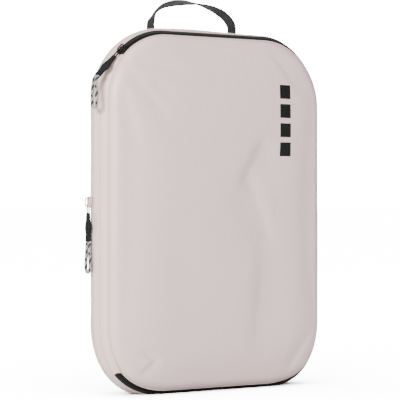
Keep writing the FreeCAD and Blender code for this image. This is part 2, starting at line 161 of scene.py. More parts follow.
def grid_object(
    name: str,
    points: Array,
    uv: Array,
    wrap_u: bool = False,
    wrap_v: bool = False,
    flip: bool = False,
) -> bpy.types.Object:
    """Mesh object from a grid of points, whose quads join each point to the next in both directions.

    Args:
        name: the object's name.
        points: the grid, (nu, nv, 3).
        uv: pairs in metres, (nu + 1, nv + 1, 2) in the directions that wrap and (nu, nv, 2) otherwise.
        wrap_u: whether the last column joins the first.
        wrap_v: whether the last row joins the first.
        flip: whether the outside is on the side of v x u instead of u x v.

    Returns:
        The new object.
    """
    count_u, count_v = points.shape[:2]
    i, j = np.meshgrid(
        np.arange(count_u if wrap_u else count_u - 1),
        np.arange(count_v if wrap_v else count_v - 1),
        indexing="ij",
    )
    steps = [(0, 0), (0, 1), (1, 1), (1, 0)] if flip else [(0, 0), (1, 0), (1, 1), (0, 1)]
    quads = [((i + a) % count_u) * count_v + (j + b) % count_v for a, b in steps]
    pairs = [uv[i + a, j + b] for a, b in steps]
    return mesh_object(
        name,
        points,
        np.stack(quads, axis=-1).reshape(-1, 4),
        np.stack(pairs, axis=-2).reshape(-1, 4, 2),
    )


def tube_object(
    name: str, path: Array, widths: Array, heights: Array, up: Array, sides: int = 12
) -> bpy.types.Object:
    """Closed tube along a path, with an elliptical section of its own at each point.

    Each section is centre + width cos(t) across + height sin(t) upright, where upright is the given direction
    made square to the path. A section of no size closes each end.

    Args:
        name: the object's name.
        path: centres, (n, 3).
        widths: half width of each section, (n, 1), or of each of its corners, (n, sides).
        heights: half height, likewise.
        up: rough upright direction, (3,) or (n, 3).
        sides: corners of each section.

    Returns:
        The new object, with u round the section as a share and v along the path in metres.
    """
    forward = unit(np.gradient(path, axis=0))
    across = unit(np.cross(forward, np.broadcast_to(up, path.shape)))
    upright = np.cross(across, forward)
    turn = np.linspace(0, 2 * np.pi, sides, endpoint=False)
    rings = (
        path[:, None]
        + (widths * np.cos(turn))[..., None] * across[:, None]
        + (heights * np.sin(turn))[..., None] * upright[:, None]
    )
    ends = [np.repeat(path[k][None, None], sides, axis=1) for k in (0, -1)]
    rings = np.concatenate([ends[0], rings, ends[1]])
    uv = uv_grid(with_ends(run_along(path)), np.linspace(0, 1, sides + 1))[..., ::-1]
    return grid_object(name, rings, uv, wrap_v=True, flip=True)


def finish_modifiers(obj: bpy.types.Object) -> None:
    """Replace an object's mesh by the one its modifiers give, and take the modifiers off."""
    bpy.context.view_layer.update()
    graph = bpy.context.evaluated_depsgraph_get()
    shown = obj.evaluated_get(graph)
    mesh = bpy.data.meshes.new_from_object(shown, preserve_all_data_layers=True, depsgraph=graph)
    obj.modifiers.clear()
    obj.data = mesh


def vertices(obj: bpy.types.Object) -> Array:
    """Vertex positions of a mesh object, (n, 3)."""
    found = np.empty(len(obj.data.vertices) * 3)
    obj.data.vertices.foreach_get("co", found)
    return found.reshape(-1, 3)


def move_vertices(obj: bpy.types.Object, places: Array) -> None:
    """Put a mesh object's vertices at new places."""
    obj.data.vertices.foreach_set("co", places.astype(np.float32).ravel())
    obj.data.update()


@dataclass(frozen=True)
class ClothRun:
    """One run of the cloth simulator on a panel that is sewn down along its edge."""

    slack: float = 0.012
    push: tuple[float, float, float] = (0.0, -9.0, -1.0)
    frames: int = 20
    stiffness: float = 12.0
    bending: float = 0.15
    reach: float = 0.004
    quality: int = 6
    mass: float = 0.1
    air_damping: float = 4.0
    held_share: float = 0.55
    fade_share: float = 0.4

    def settle(self, obj: bpy.types.Object, sewn: Array) -> None:
        """Let the fabric, cut larger by the slack, fill out and wrinkle, and keep the shape it takes.

        A vertex moves at most about the reach, and hardly at all on the roll beside the seam.

        Args:
            obj: the panel, a mesh object with no modifiers.
            sewn: whether each vertex is held by the seam.
        """
        start = vertices(obj)
        group = obj.vertex_groups.new(name="sewn")
        group.add(np.flatnonzero(sewn).tolist(), 1.0, "REPLACE")
        scene = bpy.context.scene
        gravity = scene.gravity.copy()
        scene.gravity = self.push
        modifier = obj.modifiers.new("Cloth", "CLOTH")
        settings = modifier.settings
        settings.quality = self.quality
        settings.mass = self.mass
        settings.tension_stiffness = settings.compression_stiffness = self.stiffness
        settings.shear_stiffness = self.stiffness / 3
        settings.bending_stiffness = self.bending
        settings.air_damping = self.air_damping
        settings.vertex_group_mass = group.name
        settings.shrink_min = -self.slack
        modifier.collision_settings.use_collision = False
        modifier.point_cache.frame_end = self.frames
        for frame_number in range(1, self.frames + 1):
            scene.frame_set(frame_number)
        evaluated = obj.evaluated_get(bpy.context.evaluated_depsgraph_get())
        moved = np.empty(len(start) * 3)
        evaluated.data.vertices.foreach_get("co", moved)
        step = moved.reshape(-1, 3) - start
        size = np.linalg.norm(step, axis=1, keepdims=True)
        step *= self.reach * np.tanh(size / self.reach) / np.maximum(size, 1e-9)
        lifted = np.abs(start[:, 1] - start[sewn][:, 1].mean()) / np.ptp(start[:, 1])
        step *= (np.clip((lifted - self.held_share) / self.fade_share, 0, 1) ** 1.5)[:, None]
        obj.modifiers.clear()
        obj.vertex_groups.clear()
        scene.frame_set(1)
        scene.gravity = gravity
        move_vertices(obj, start + step)
        LOG.info("%s settled, largest move %.1f mm", obj.name, 1000 * size.max())


# ---------------------------------------------------------------- shape of the shell


@dataclass(frozen=True)
class Shell:
    """Outline and side wall of the bag, which every band sewn into it follows."""

    half_width: float
    low: float
    high: float
    seam: float
    zip_back: float
    crest_front: float
    crest_back: float
    rear: float
    corner_radius: float = 0.068
    zip_rise: float = 0.0038
    crest_rise: float = 0.005
    crest_dip: float = 0.0004
    crest_fall: float = 0.0024
    rear_rise: float = -0.016
    front_swell: float = 0.0005
    rear_swell: float = 0.0012
    pucker: float = 0.00035
    valley_angle: float = 162.0
    valley_depth: float = 0.0013
    pinch_height: float = 0.167
    pinch_depth: float = 0.0014
    right_flare: float = 0.0019
    corner_pull: tuple[tuple[float, float, float], ...] = (
        (-0.0004, 0.25, 0.40),
        (0.0026, 1.25, 0.45),
        (0.0050, 1.75, 0.45),
    )
    top_bow: float = 0.0012
    top_crown: float = 0.0024
    crown_x: float = -0.02
    crown_width: float = 0.055
    base_bow: float = 0.0030
    floor_lift: float = 0.0003

    @classmethod
    def from_frame(cls) -> "Shell":
        """The shell that the CAD's panels and gussets bound."""
        panel = corners("front_panel")
        gusset = corners("front_gusset")
        rear = corners("rear_gusset")
        return cls(
            half_width=panel[1][0],
            low=panel[0][2],
            high=panel[1][2],
            seam=panel[1][1],
            zip_back=gusset[0][1],
            crest_front=gusset[1][1],
            crest_back=rear[0][1],
            rear=rear[1][1],
        )

    @property
    def track(self) -> Array:
        """Rows of arc, bend centre x and z, and outward angle, between which all four change evenly."""
        x = self.half_width - self.corner_radius
        low, high = self.low + self.corner_radius, self.high - self.corner_radius
        middle = (low + high) / 2
        bend = self.corner_radius * math.pi / 2
        rows = [
            (0.0, x, middle, 0.0),
            (high - middle, x, high, 0.0),
            (bend, x, high, 0.5),
            (2 * x, -x, high, 0.5),
            (bend, -x, high, 1.0),
            (high - low, -x, low, 1.0),
            (bend, -x, low, 1.5),
            (2 * x, x, low, 1.5),
            (bend, x, low, 2.0),
            (middle - low, x, middle, 2.0),
        ]
        table = np.array(rows)
        table[:, 0] = np.cumsum(table[:, 0])
        table[:, 3] *= math.pi
        return table

    @property
    def length(self) -> float:
        """Length of the seam all the way round."""
        return float(self.track[-1, 0])

    def arc_at(self, angle: float) -> float:
        """Arc of the middle of a bend, or of a place on it, by its outward angle in degrees."""
        table = self.track
        return float(np.interp(math.radians(angle), table[:, 3] + np.arange(len(table)) * 1e-9, table[:, 0]))

    def left_arc(self, height: float) -> float:
        """Arc of a place on the straight left side by its height."""
        return float(self.track[4, 0] + self.high - self.corner_radius - height)

    def rise(self, depth: Array) -> Array:
        """How far the wall stands out at a depth.

        Straight runs lead from seam to seam, and each gusset adds a parabola.
        """
        crest = (self.crest_front + self.crest_back) / 2
        seams = [self.seam, self.zip_back, self.crest_front, crest, self.crest_back, self.rear]
        peak = self.crest_rise
        rises = [0.0, self.zip_rise, peak, peak - self.crest_dip, peak - self.crest_fall, self.rear_rise]
        front, back = self.across_gussets(depth)
        swell = 4 * self.front_swell * front * (1 - front) + 4 * self.rear_swell * back * (1 - back)
        return np.interp(depth, seams, rises) + swell

    def across_gussets(self, depth: Array) -> tuple[Array, Array]:
        """Share of the way across the front gusset and across the rear gusset, each clipped to 0 to 1."""
        front = np.clip((depth - self.zip_back) / (self.crest_front - self.zip_back), 0, 1)
        back = np.clip((depth - self.crest_back) / (self.rear - self.crest_back), 0, 1)
        return front, back

    def ripple(self, arc: Array, depth: Array) -> Array:
        """Soft puckers of the gussets.

        They are three sine waves round the bag, fading at each seam, and two creases of their own.
        """
        turn = 2 * np.pi * arc / self.length
        front, back = self.across_gussets(depth)
        waves = 0.5 * np.sin(15 * turn + 0.7) + 0.35 * np.sin(37 * turn + 1.3 + 160 * depth)
        waves = waves + 0.25 * np.sin(83 * turn + 0.2 - 210 * depth)
        soft = self.pucker * waves * (front * (1 - front) + 1.6 * back * (1 - back)) * 4
        wrapped = np.mod(arc, self.length)
        valley = bump(wrapped, self.arc_at(self.valley_angle), 0.022)
        valley = valley * bump(depth, self.zip_back + 0.001, 0.0021)
        pinch = bump(wrapped, self.left_arc(self.pinch_height), 0.007)
        pinch = pinch * bump(depth, self.crest_front - 0.0015, 0.0028)
        return soft - self.valley_depth * valley - self.pinch_depth * pinch

    def normal(self, arc: Array) -> Array:
        """Outward direction at an arc, (..., 3)."""
        table = self.track
        angle = np.interp(np.mod(arc, self.length), table[:, 0], table[:, 3])
        return np.stack([np.cos(angle), np.zeros_like(angle), np.sin(angle)], axis=-1)

    def point(self, arc: Value, depth: Value, lift: Value = 0.0) -> Array:
        """Places on the wall.

        A place is its bend's centre plus (radius + rise + lift + ripple) times the outward direction. The
        front seam bows inward at the top and the base, the top's crest is crowned, and the base lies flat.

        Args:
            arc: arcs along the seam.
            depth: depths, which broadcast with the arcs.
            lift: distance outside the wall's surface, negative inside it.

        Returns:
            Points, (..., 3).
        """
        arc, depth, lift = np.broadcast_arrays(
            np.asarray(arc, float), np.asarray(depth, float), np.asarray(lift, float)
        )
        table = self.track
        row = sampled(np.mod(arc, self.length), table[:, 0], table[:, 1:])
        centre_x, centre_z, angle = np.moveaxis(row, -1, 0)
        trim = sum(pull * bump(angle, corner * math.pi, width) for pull, corner, width in self.corner_pull)
        flare = np.interp(depth, [self.seam, self.zip_back, self.crest_front], [0.0, 1.0, 0.4])
        trim = trim + self.right_flare * flare * np.sqrt(np.clip(np.cos(angle), 0, 1))
        reach = self.corner_radius + self.rise(depth) + lift + self.ripple(arc, depth) + trim
        x = centre_x + reach * np.cos(angle)
        z = centre_z + reach * np.sin(angle)
        near_front = np.clip((self.crest_front - depth) / (self.crest_front - self.seam), 0, 1)
        near_seam = np.clip((self.zip_back - depth) / (self.zip_back - self.seam), 0, 1)
        above = np.clip(np.sin(angle), 0, 1) ** 2
        z = z - self.top_bow * near_seam * above
        crown = np.interp(depth, [self.zip_back, self.crest_front, self.crest_back, self.rear], [0, 1, 1, 0])
        z = z + self.top_crown * crown * above * bump(x, self.crown_x, self.crown_width)
        z = z + self.base_bow * near_front * np.clip(-np.sin(angle), 0, 1) ** 1.5
        z = np.maximum(z, self.floor_lift - np.minimum(lift, 0.0))
        return np.stack([x, depth, z], axis=-1)


# ---------------------------------------------------------------- finishes


class Surface(Enum):
    """Kinds of surface that a finish can have."""

    WOVEN = "woven"
    RIBBED = "ribbed"
    MOULDED = "moulded"
    PAINTED = "painted"
    BRAIDED = "braided"


class Sketch:
    """Adds nodes to one node tree and joins their sockets."""

    def __init__(self, tree: bpy.types.NodeTree) -> None:
        """Start a sketch on a tree."""
        self.tree = tree

    def add(self, kind: str, inputs: Optional[dict] = None, **settings: object) -> bpy.types.Node:
        """Add a node.

        Args:
            kind: the node's type name without the ShaderNode prefix.
            inputs: a value or a socket for each named input.
            settings: the node's own settings.

        Returns:
            The node.
        """
        node = self.tree.nodes.new("ShaderNode" + kind)
        for name, value in settings.items():
            setattr(node, name, value)
        for name, value in (inputs or {}).items():
            self.join(node.inputs[name], value)
        return node

    def join(self, socket: bpy.types.NodeSocket, value: object) -> None:
        """Link a socket to an output, or set it to a number, vector or colour."""
        if isinstance(value, bpy.types.NodeSocket):
            self.tree.links.new(value, socket)
        else:
            socket.default_value = value

    def math(self, operation: str, *values: object) -> bpy.types.NodeSocket:
        """Output of a math node over up to three values."""
        node = self.add("Math", operation=operation)
        for index, value in enumerate(values):
            self.join(node.inputs[index], value)
        return node.outputs[0]

    def blend(self, share: object, first: object, second: object) -> bpy.types.NodeSocket:
        """Colour between two colours."""
        node = self.add("Mix", data_type="RGBA")
        for index, value in ((0, share), (6, first), (7, second)):
            self.join(node.inputs[index], value)
        return node.outputs[2]

    def wave(self, value: object) -> bpy.types.NodeSocket:
        """Ridges |sin(pi value)|, one for each whole number."""
        return self.math("ABSOLUTE", self.math("SINE", self.math("MULTIPLY", value, math.pi)))

    def either(self, share: object, first: object, second: object) -> bpy.types.NodeSocket:
        """The first number where the share is 1 and the second where it is 0."""
        rest = self.math("SUBTRACT", 1.0, share)
        return self.math("ADD", self.math("MULTIPLY", first, share), self.math("MULTIPLY", second, rest))

    def span(self, value: object, low: float, high: float) -> bpy.types.NodeSocket:
        """A value from 0 to 1 spread from low to high."""
        return self.math("MULTIPLY_ADD", value, high - low, low)


def effect(
    name: str, inputs: Sequence[tuple[str, str]], outputs: Sequence[str]
) -> tuple[Sketch, dict, dict, bool]:
    """Find or start a shader node group.

    Args:
        name: the group's name.
        inputs: name and socket type of each input.
        outputs: name of each output, all of them numbers.

    Returns:
        A sketch of the group, its input sockets, its output sockets and whether it is new.
    """
    group = bpy.data.node_groups.get(name)
    is_new = group is None
    if is_new:
        group = bpy.data.node_groups.new(name, "ShaderNodeTree")
        for label, kind in inputs:
            group.interface.new_socket(label, in_out="INPUT", socket_type=kind)
        for label in outputs:
            group.interface.new_socket(label, in_out="OUTPUT", socket_type="NodeSocketFloat")
        group.nodes.new("NodeGroupInput")
        group.nodes.new("NodeGroupOutput")
    source = next(node for node in group.nodes if node.bl_idname == "NodeGroupInput")
    target = next(node for node in group.nodes if node.bl_idname == "NodeGroupOutput")
    ins = {label: source.outputs[label] for label, _ in inputs}
    outs = {label: target.inputs[label] for label in outputs}
    return Sketch(group), ins, outs, is_new


VECTOR, NUMBER = "NodeSocketVector", "NodeSocketFloat"
GRID_THREADS, GRID_LINE_SHARE = 9.0, 0.13
BRAID_STRANDS = 4.0


def weave_effect() -> bpy.types.NodeTree:
    """Plain weave: threads that pass over and under, as |sin| ridges on a chequered pair of directions.

    Each ninth thread both ways is a thicker one, which makes the ripstop grid.
    """
    outputs = ["Height", "Thread", "Grid"]
    sketch, ins, outs, is_new = effect("weave", [("Vector", VECTOR), ("Yarn", NUMBER)], outputs)
    if is_new:
        parts = sketch.add("SeparateXYZ", {"Vector": ins["Vector"]})
        threads = [sketch.math("DIVIDE", parts.outputs[k], ins["Yarn"]) for k in (0, 1)]
        ridges = [sketch.wave(thread) for thread in threads]
        cell = sketch.math("ADD", *(sketch.math("FLOOR", thread) for thread in threads))
        over = sketch.math("ABSOLUTE", sketch.math("MODULO", cell, 2.0))
        sketch.join(outs["Height"], sketch.either(over, *ridges))
        sketch.join(outs["Thread"], over)
        places = [sketch.math("FRACT", sketch.math("DIVIDE", thread, GRID_THREADS)) for thread in threads]
        lines = [sketch.math("LESS_THAN", place, GRID_LINE_SHARE) for place in places]
        sketch.join(outs["Grid"], sketch.math("MAXIMUM", *lines))
    return sketch.tree


def crumple_effect() -> bpy.types.NodeTree:
    """Fine creases of coated fabric: two layers of noise, the smaller one ridged."""
    sketch, ins, outs, is_new = effect("crumple", [("Vector", VECTOR), ("Size", NUMBER)], ["Height", "Mask"])
    if is_new:
        scale = sketch.math("DIVIDE", 1.0, ins["Size"])
        broad = sketch.add("TexNoise", {"Vector": ins["Vector"], "Scale": scale, "Detail": 3.0})
        finer = sketch.math("MULTIPLY", scale, 2.7)
        noise = {"Vector": ins["Vector"], "Scale": finer, "Detail": 4.0, "Distortion": 0.6}
        fine = sketch.add("TexNoise", noise)
        centred = sketch.math("ABSOLUTE", sketch.math("SUBTRACT", fine.outputs[0], 0.5))
        ridged = sketch.math("SUBTRACT", 1.0, sketch.math("MULTIPLY", centred, 4.0))
        sketch.join(outs["Height"], sketch.math("MULTIPLY_ADD", ridged, 0.35, broad.outputs[0]))
        sketch.join(outs["Mask"], broad.outputs[0])
    return sketch.tree


def wear_effect() -> bpy.types.NodeTree:
    """Handling marks: a mask of small scuffs inside broad patches."""
    sketch, ins, outs, is_new = effect("wear", [("Vector", VECTOR), ("Size", NUMBER)], ["Mask", "Patch"])
    if is_new:
        scale = sketch.math("DIVIDE", 1.0, ins["Size"])
        patch = sketch.add("TexNoise", {"Vector": ins["Vector"], "Scale": scale, "Detail": 2.0})
        small = sketch.math("MULTIPLY", scale, 9.0)
        speck = sketch.add("TexNoise", {"Vector": ins["Vector"], "Scale": small, "Detail": 5.0})
        scuff = sketch.math("MULTIPLY", sketch.math("SUBTRACT", speck.outputs[0], 0.58), 9.0)
        both = sketch.math("MULTIPLY", scuff, patch.outputs[0])
        node = sketch.add("Clamp", {"Value": both})
        sketch.join(outs["Mask"], node.outputs[0])
        sketch.join(outs["Patch"], patch.outputs[0])
    return sketch.tree


def braid_effect() -> bpy.types.NodeTree:
    """Braided cord: strands wind both ways, alternate ones pass on top, and some are black."""
    sketch, ins, outs, is_new = effect("braid", [("Vector", VECTOR), ("Pitch", NUMBER)], ["Height", "Fleck"])
    if is_new:
        parts = sketch.add("SeparateXYZ", {"Vector": ins["Vector"]})
        round_share = sketch.math("MULTIPLY", parts.outputs[0], BRAID_STRANDS)
        along = sketch.math("DIVIDE", parts.outputs[1], ins["Pitch"])
        far_from_zero = 400.0
        strands = [
            sketch.math("ADD", sketch.math(sense, round_share, along), far_from_zero)
            for sense in ("ADD", "SUBTRACT")
        ]
        numbers = [sketch.math("FLOOR", strand) for strand in strands]
        on_top = sketch.math("MODULO", sketch.math("ADD", *numbers), 2.0)
        black = [
            sketch.math("LESS_THAN", sketch.math("MODULO", number, every), 0.5)
            for number, every in zip(numbers, (BRAID_STRANDS, BRAID_STRANDS / 2))
        ]
        sketch.join(outs["Height"], sketch.either(on_top, *(sketch.wave(strand) for strand in strands)))
        sketch.join(outs["Fleck"], sketch.either(on_top, *black))
    return sketch.tree


@dataclass(frozen=True)
class Finish:
    """One material of the bag."""

    name: str
    slot: str
    surface: Surface
    colour: Colour
    shade: Colour
    roughness: float = 0.6
    detail: float = 0.0005
    relief: float = 0.25
    crumple: float = 0.0
    crumple_size: float = 0.02
    sheen: float = 0.0
    coat: float = 0.0
    metallic: float = 0.0
    specular: float = 0.5

    def material(self) -> bpy.types.Material:
        """Find or build the material.

        Colour goes from the finish's colour to its shade over broad patches, roughness follows the scuffs,
        and the bump adds the surface's own pattern to the crumple.
        """
        found = bpy.data.materials.get(self.name)
        if found:
            return found
        material = bpy.data.materials.new(self.name)
        material.use_nodes = True
        material.diffuse_color = (*self.colour, 1.0)
        tree = material.node_tree
        sketch = Sketch(tree)
        shader = tree.nodes["Principled BSDF"]
        places = sketch.add("TexCoord")
        solid, flat = places.outputs["Object"], places.outputs["UV"]
        wear = self._effect(sketch, wear_effect(), {"Vector": solid, "Size": max(self.crumple_size, 0.004)})
        creases = self._effect(sketch, crumple_effect(), {"Vector": solid, "Size": self.crumple_size})
        height, darken = self._pattern(sketch, flat, solid)
        tone = sketch.math("MULTIPLY", wear.outputs["Patch"], 0.7)
        colour = sketch.blend(sketch.math("MAXIMUM", tone, darken), (*self.colour, 1.0), (*self.shade, 1.0))
        sketch.join(shader.inputs["Base Color"], colour)
        rough = sketch.span(wear.outputs["Mask"], self.roughness, min(1.0, self.roughness + 0.14))
        sketch.join(shader.inputs["Roughness"], rough)
        for socket, value in (
            ("Sheen Weight", self.sheen),
            ("Sheen Roughness", 0.45),
            ("Coat Weight", self.coat),
            ("Coat Roughness", 0.22),
            ("Metallic", self.metallic),
            ("Specular IOR Level", self.specular),
        ):
            shader.inputs[socket].default_value = value
        fine = sketch.add("Bump", {"Height": height, "Strength": self.relief, "Distance": self.detail})
        normal = fine.outputs[0]
        if self.crumple:
            broad = {
                "Height": creases.outputs["Height"],
                "Strength": 1.0,
                "Distance": self.crumple,
                "Normal": normal,
            }
            normal = sketch.add("Bump", broad).outputs[0]
        sketch.join(shader.inputs["Normal"], normal)
        return material

    def _effect(self, sketch: Sketch, group: bpy.types.NodeTree, inputs: dict) -> bpy.types.Node:
        """Place an effect group in a material with its inputs joined."""
        node = sketch.add("Group", node_tree=group)
        for name, value in inputs.items():
            sketch.join(node.inputs[name], value)
        return node

    def _pattern(
        self, sketch: Sketch, flat: bpy.types.NodeSocket, solid: bpy.types.NodeSocket
    ) -> tuple[bpy.types.NodeSocket, object]:
        """Height of the surface's own pattern and how much the shade colour shows through it.

        Args:
            sketch: the material's sketch.
            flat: the piece's UV in metres.
            solid: the object's coordinates.

        Returns:
            The height and a share from 0 to 1.
        """
        if self.surface is Surface.WOVEN:
            weave = self._effect(sketch, weave_effect(), {"Vector": flat, "Yarn": self.detail})
            grid = weave.outputs["Grid"]
            height = sketch.math("ADD", weave.outputs["Height"], grid)
            threads = sketch.math("MULTIPLY", weave.outputs["Thread"], 0.25)
            return height, sketch.math("MULTIPLY_ADD", grid, 0.75, threads)
        if self.surface is Surface.RIBBED:
            stretch = sketch.add("Mapping", {"Vector": flat, "Scale": (1.0, 0.4, 1.0)})
            weave = self._effect(sketch, weave_effect(), {"Vector": stretch.outputs[0], "Yarn": self.detail})
            return weave.outputs["Height"], sketch.math("MULTIPLY", weave.outputs["Thread"], 0.4)
        if self.surface is Surface.BRAIDED:
            braid = self._effect(sketch, braid_effect(), {"Vector": flat, "Pitch": self.detail})
            return braid.outputs["Height"], braid.outputs["Fleck"]
        cells = sketch.add("TexVoronoi", {"Vector": solid, "Scale": 1.0 / self.detail})
        return cells.outputs["Distance"], 0.0

    def dress(self, obj: bpy.types.Object) -> None:
        """Give an object this finish."""
        obj.data.materials.clear()
        obj.data.materials.append(self.material())


SHELL_FABRIC = Finish(
    "shell ripstop", "shell_fabric", Surface.WOVEN, (0.800, 0.588, 0.580), (0.765, 0.553, 0.546),
    roughness=0.44, detail=0.00045, relief=0.12, crumple=0.0005, crumple_size=0.045, sheen=0.06, coat=0.10,
)
# Same ripstop and slot as the shell, painted lighter and warmer for the side wall, seam lips and end covers:
# painted light from the key lamp on the left.
SIDE_FABRIC_PAINTED_LIGHT = Finish(
    "side ripstop", "shell_fabric", Surface.WOVEN, (0.840, 0.625, 0.560), (0.790, 0.575, 0.505),
    roughness=0.46, detail=0.00045, relief=0.12, crumple=0.0004, crumple_size=0.030, sheen=0.06, coat=0.08,
)
LINING = Finish(
    "thin lining", "lining_fabric", Surface.WOVEN, (0.700, 0.620, 0.600), (0.600, 0.525, 0.510),
    roughness=0.68, detail=0.0005, relief=0.3, crumple=0.0010, crumple_size=0.018, sheen=0.2,
)
BINDING = Finish(
    "seam binding", "binding_tape", Surface.RIBBED, (0.650, 0.580, 0.560), (0.520, 0.460, 0.440),
    roughness=0.8, detail=0.0008, relief=0.5, crumple=0.0003, crumple_size=0.006, sheen=0.3,
)
PALE_TAPE = Finish(
    "pale zip tape", "pale_zip_tape", Surface.RIBBED, (0.730, 0.635, 0.600), (0.610, 0.520, 0.490),
    roughness=0.7, detail=0.0006, relief=0.5, crumple=0.0002, crumple_size=0.006, sheen=0.2,
)
PALE_COIL = Finish(
    "pale nylon coil", "pale_coil", Surface.MOULDED, (0.720, 0.630, 0.590), (0.620, 0.530, 0.500),
    roughness=0.38, detail=0.0006, relief=0.08, coat=0.1,
)
BLACK_TAPE = Finish(
    "black zip tape", "black_zip_tape", Surface.RIBBED, (0.0050, 0.0047, 0.0055), (0.0110, 0.0105, 0.0115),
    roughness=0.5, detail=0.0006, relief=0.5, crumple=0.0002, crumple_size=0.005, sheen=0.05, specular=0.12,
)
BLACK_COIL = Finish(
    "black nylon coil", "black_coil", Surface.MOULDED, (0.0045, 0.0045, 0.0050), (0.0110, 0.0108, 0.0112),
    roughness=0.35, detail=0.0006, relief=0.08, coat=0.03, specular=0.12,
)
BLACK_METAL = Finish(
    "black painted metal", "black_metal", Surface.PAINTED, (0.0050, 0.0050, 0.0058), (0.0140, 0.0138, 0.0145),
    roughness=0.34, detail=0.0004, relief=0.05, crumple_size=0.004, coat=0.03, specular=0.12,
)
CREAM_METAL = Finish(
    "cream painted metal", "cream_metal", Surface.PAINTED, (0.720, 0.560, 0.430), (0.620, 0.460, 0.340),
    roughness=0.36, detail=0.0004, relief=0.05, crumple_size=0.004, coat=0.3,
)
GRIP_RUBBER = Finish(
    "black grip rubber", "black_grip", Surface.MOULDED, (0.0060, 0.0060, 0.0072), (0.0130, 0.0130, 0.0150),
    roughness=0.55, detail=0.0007, relief=0.55, crumple_size=0.006, specular=0.12,
)
CORD_BRAID = Finish(
    "flecked cord", "flecked_cord", Surface.BRAIDED, (0.640, 0.600, 0.570), (0.020, 0.019, 0.020),
    roughness=0.75, detail=0.0038, relief=0.6, crumple_size=0.004, sheen=0.3,
)
BLACK_WEBBING = Finish(
    "black webbing", "black_webbing", Surface.RIBBED, (0.0050, 0.0050, 0.0055), (0.0120, 0.0118, 0.0124),
    roughness=0.68, detail=0.0011, relief=0.35, crumple_size=0.006, sheen=0.15, specular=0.12,
)
BLACK_PRINT = Finish(
    "black screen print", "black_print", Surface.MOULDED, (0.0045, 0.0045, 0.0050), (0.0090, 0.0088, 0.0094),
    roughness=0.42, detail=0.0006, relief=0.12, crumple=0.0003, crumple_size=0.006, specular=0.12,
)
PALE_THREAD = Finish(
    "pale thread", "binding_tape", Surface.BRAIDED, (0.700, 0.620, 0.590), (0.560, 0.480, 0.450),
    roughness=0.7, detail=0.0006, relief=0.3, crumple_size=0.004, sheen=0.2,
)
BLACK_THREAD = Finish(
    "black thread", "black_zip_tape", Surface.BRAIDED, (0.0055, 0.0053, 0.0058), (0.0120, 0.0118, 0.0124),
    roughness=0.6, detail=0.0006, relief=0.3, crumple_size=0.004, sheen=0.2, specular=0.12,
)


# ---------------------------------------------------------------- bands and stitches


@dataclass(frozen=True)
class Band:
    """A strip of the side wall, closed on all sides, all round the bag or from one arc to another."""

    name: str
    body: str
    front: float
    back: float
    lift: float = 0.0
    thickness: float = 0.0006
    start: Optional[float] = None
    end: Optional[float] = None
    rows: int = 6
    step: float = 0.003

    def build(self, shell: Shell, relief: Optional[Relief] = None) -> bpy.types.Object:
        """Carry the strip's closed section along the wall.

        The section goes out along the outer face from front to back and returns along the inner face, which
        lies one thickness further in. An open strip's ends close onto its middle surface.

        Args:
            shell: the wall's shape.
            relief: extra lift of the outer face as a function of arc and of the share across the strip.

        Returns:
            The strip's object, riding on its body.
        """
        is_ring = self.start is None
        low, high = (0.0, shell.length) if is_ring else (self.start, self.end)
        count = max(8, round((high - low) / self.step))
        arcs = np.linspace(low, high, count + 1)
        columns = arcs[:-1] if is_ring else arcs
        share = np.linspace(0, 1, self.rows + 1)
        extra = np.zeros((len(columns), len(share)))
        if relief is not None:
            extra = relief(columns[:, None], share[None, :])
        depths = self.front + (self.back - self.front) * share
        outer = shell.point(columns[:, None], depths[None, :], self.lift + extra)
        inner = shell.point(columns[:, None], depths[None, :], self.lift - self.thickness)[:, ::-1]
        section = np.concatenate([outer, inner], axis=1)
        if not is_ring:
            section, arcs = capped(section), with_ends(arcs)
        widths = np.concatenate([depths, depths[::-1], depths[:1]]) - self.front
        obj = grid_object(self.name, section, uv_grid(arcs, widths), wrap_u=is_ring, wrap_v=True, flip=True)
        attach(obj, self.body)
        return obj


@dataclass(frozen=True)
class StitchRow:
    """A row of lockstitches that follows a line of places and outward directions."""

    name: str
    body: str
    pitch: float = 0.0030
    length: float = 0.0021
    radius: float = 0.00024
    sides: int = 6

    def build(self, line: Array, outward: Array, finish: Finish) -> bpy.types.Object:
        """Lay one spindle-shaped stitch each pitch along the line.

        A stitch is centre + along a + outward r cos(t) + across r sin(t), where r is nothing at both ends.

        Args:
            line: places along the row, close together, (n, 3).
            outward: outward direction at each place, (n, 3).
            finish: the thread's finish.

        Returns:
            The row's object, riding on its body.
        """
        run = run_along(line)
        stops = np.arange(self.pitch / 2, run[-1], self.pitch)
        centres = sampled(stops, run, line)
        along = unit(sampled(stops + self.length / 4, run, line) - centres)
        out = unit(sampled(stops, run, outward))
        across = np.cross(along, out)
        share = np.array([-1.0, -0.7, 0.0, 0.7, 1.0])
        fat = self.radius * np.sqrt(1 - share**2)
        turn = np.linspace(0, 2 * np.pi, self.sides, endpoint=False)
        rings = (
            centres[:, None, None]
            + along[:, None, None] * (share * self.length / 2)[None, :, None, None]
            + out[:, None, None] * (fat[:, None] * np.cos(turn))[None, :, :, None]
            + across[:, None, None] * (fat[:, None] * np.sin(turn))[None, :, :, None]
        )
        i, j = np.meshgrid(np.arange(len(share) - 1), np.arange(self.sides), indexing="ij")
        steps = ((0, 0), (0, 1), (1, 1), (1, 0))
        quads = np.stack([(i + a) * self.sides + (j + b) % self.sides for a, b in steps], axis=-1)
        quads = quads.reshape(-1, 4)
        each = len(share) * self.sides
        faces = (quads[None] + (np.arange(len(stops)) * each)[:, None, None]).reshape(-1, 4)
        places = np.stack([(i + a) * self.length / 4 for a, _ in steps], axis=-1)
        turns = np.stack([(j + b) / self.sides for _, b in steps], axis=-1)
        uv = np.tile(np.stack([turns, places], axis=-1).reshape(-1, 4, 2), (len(stops), 1, 1))
        obj = mesh_object(self.name, rings, faces, uv)
        finish.dress(obj)
        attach(obj, self.body)
        return obj


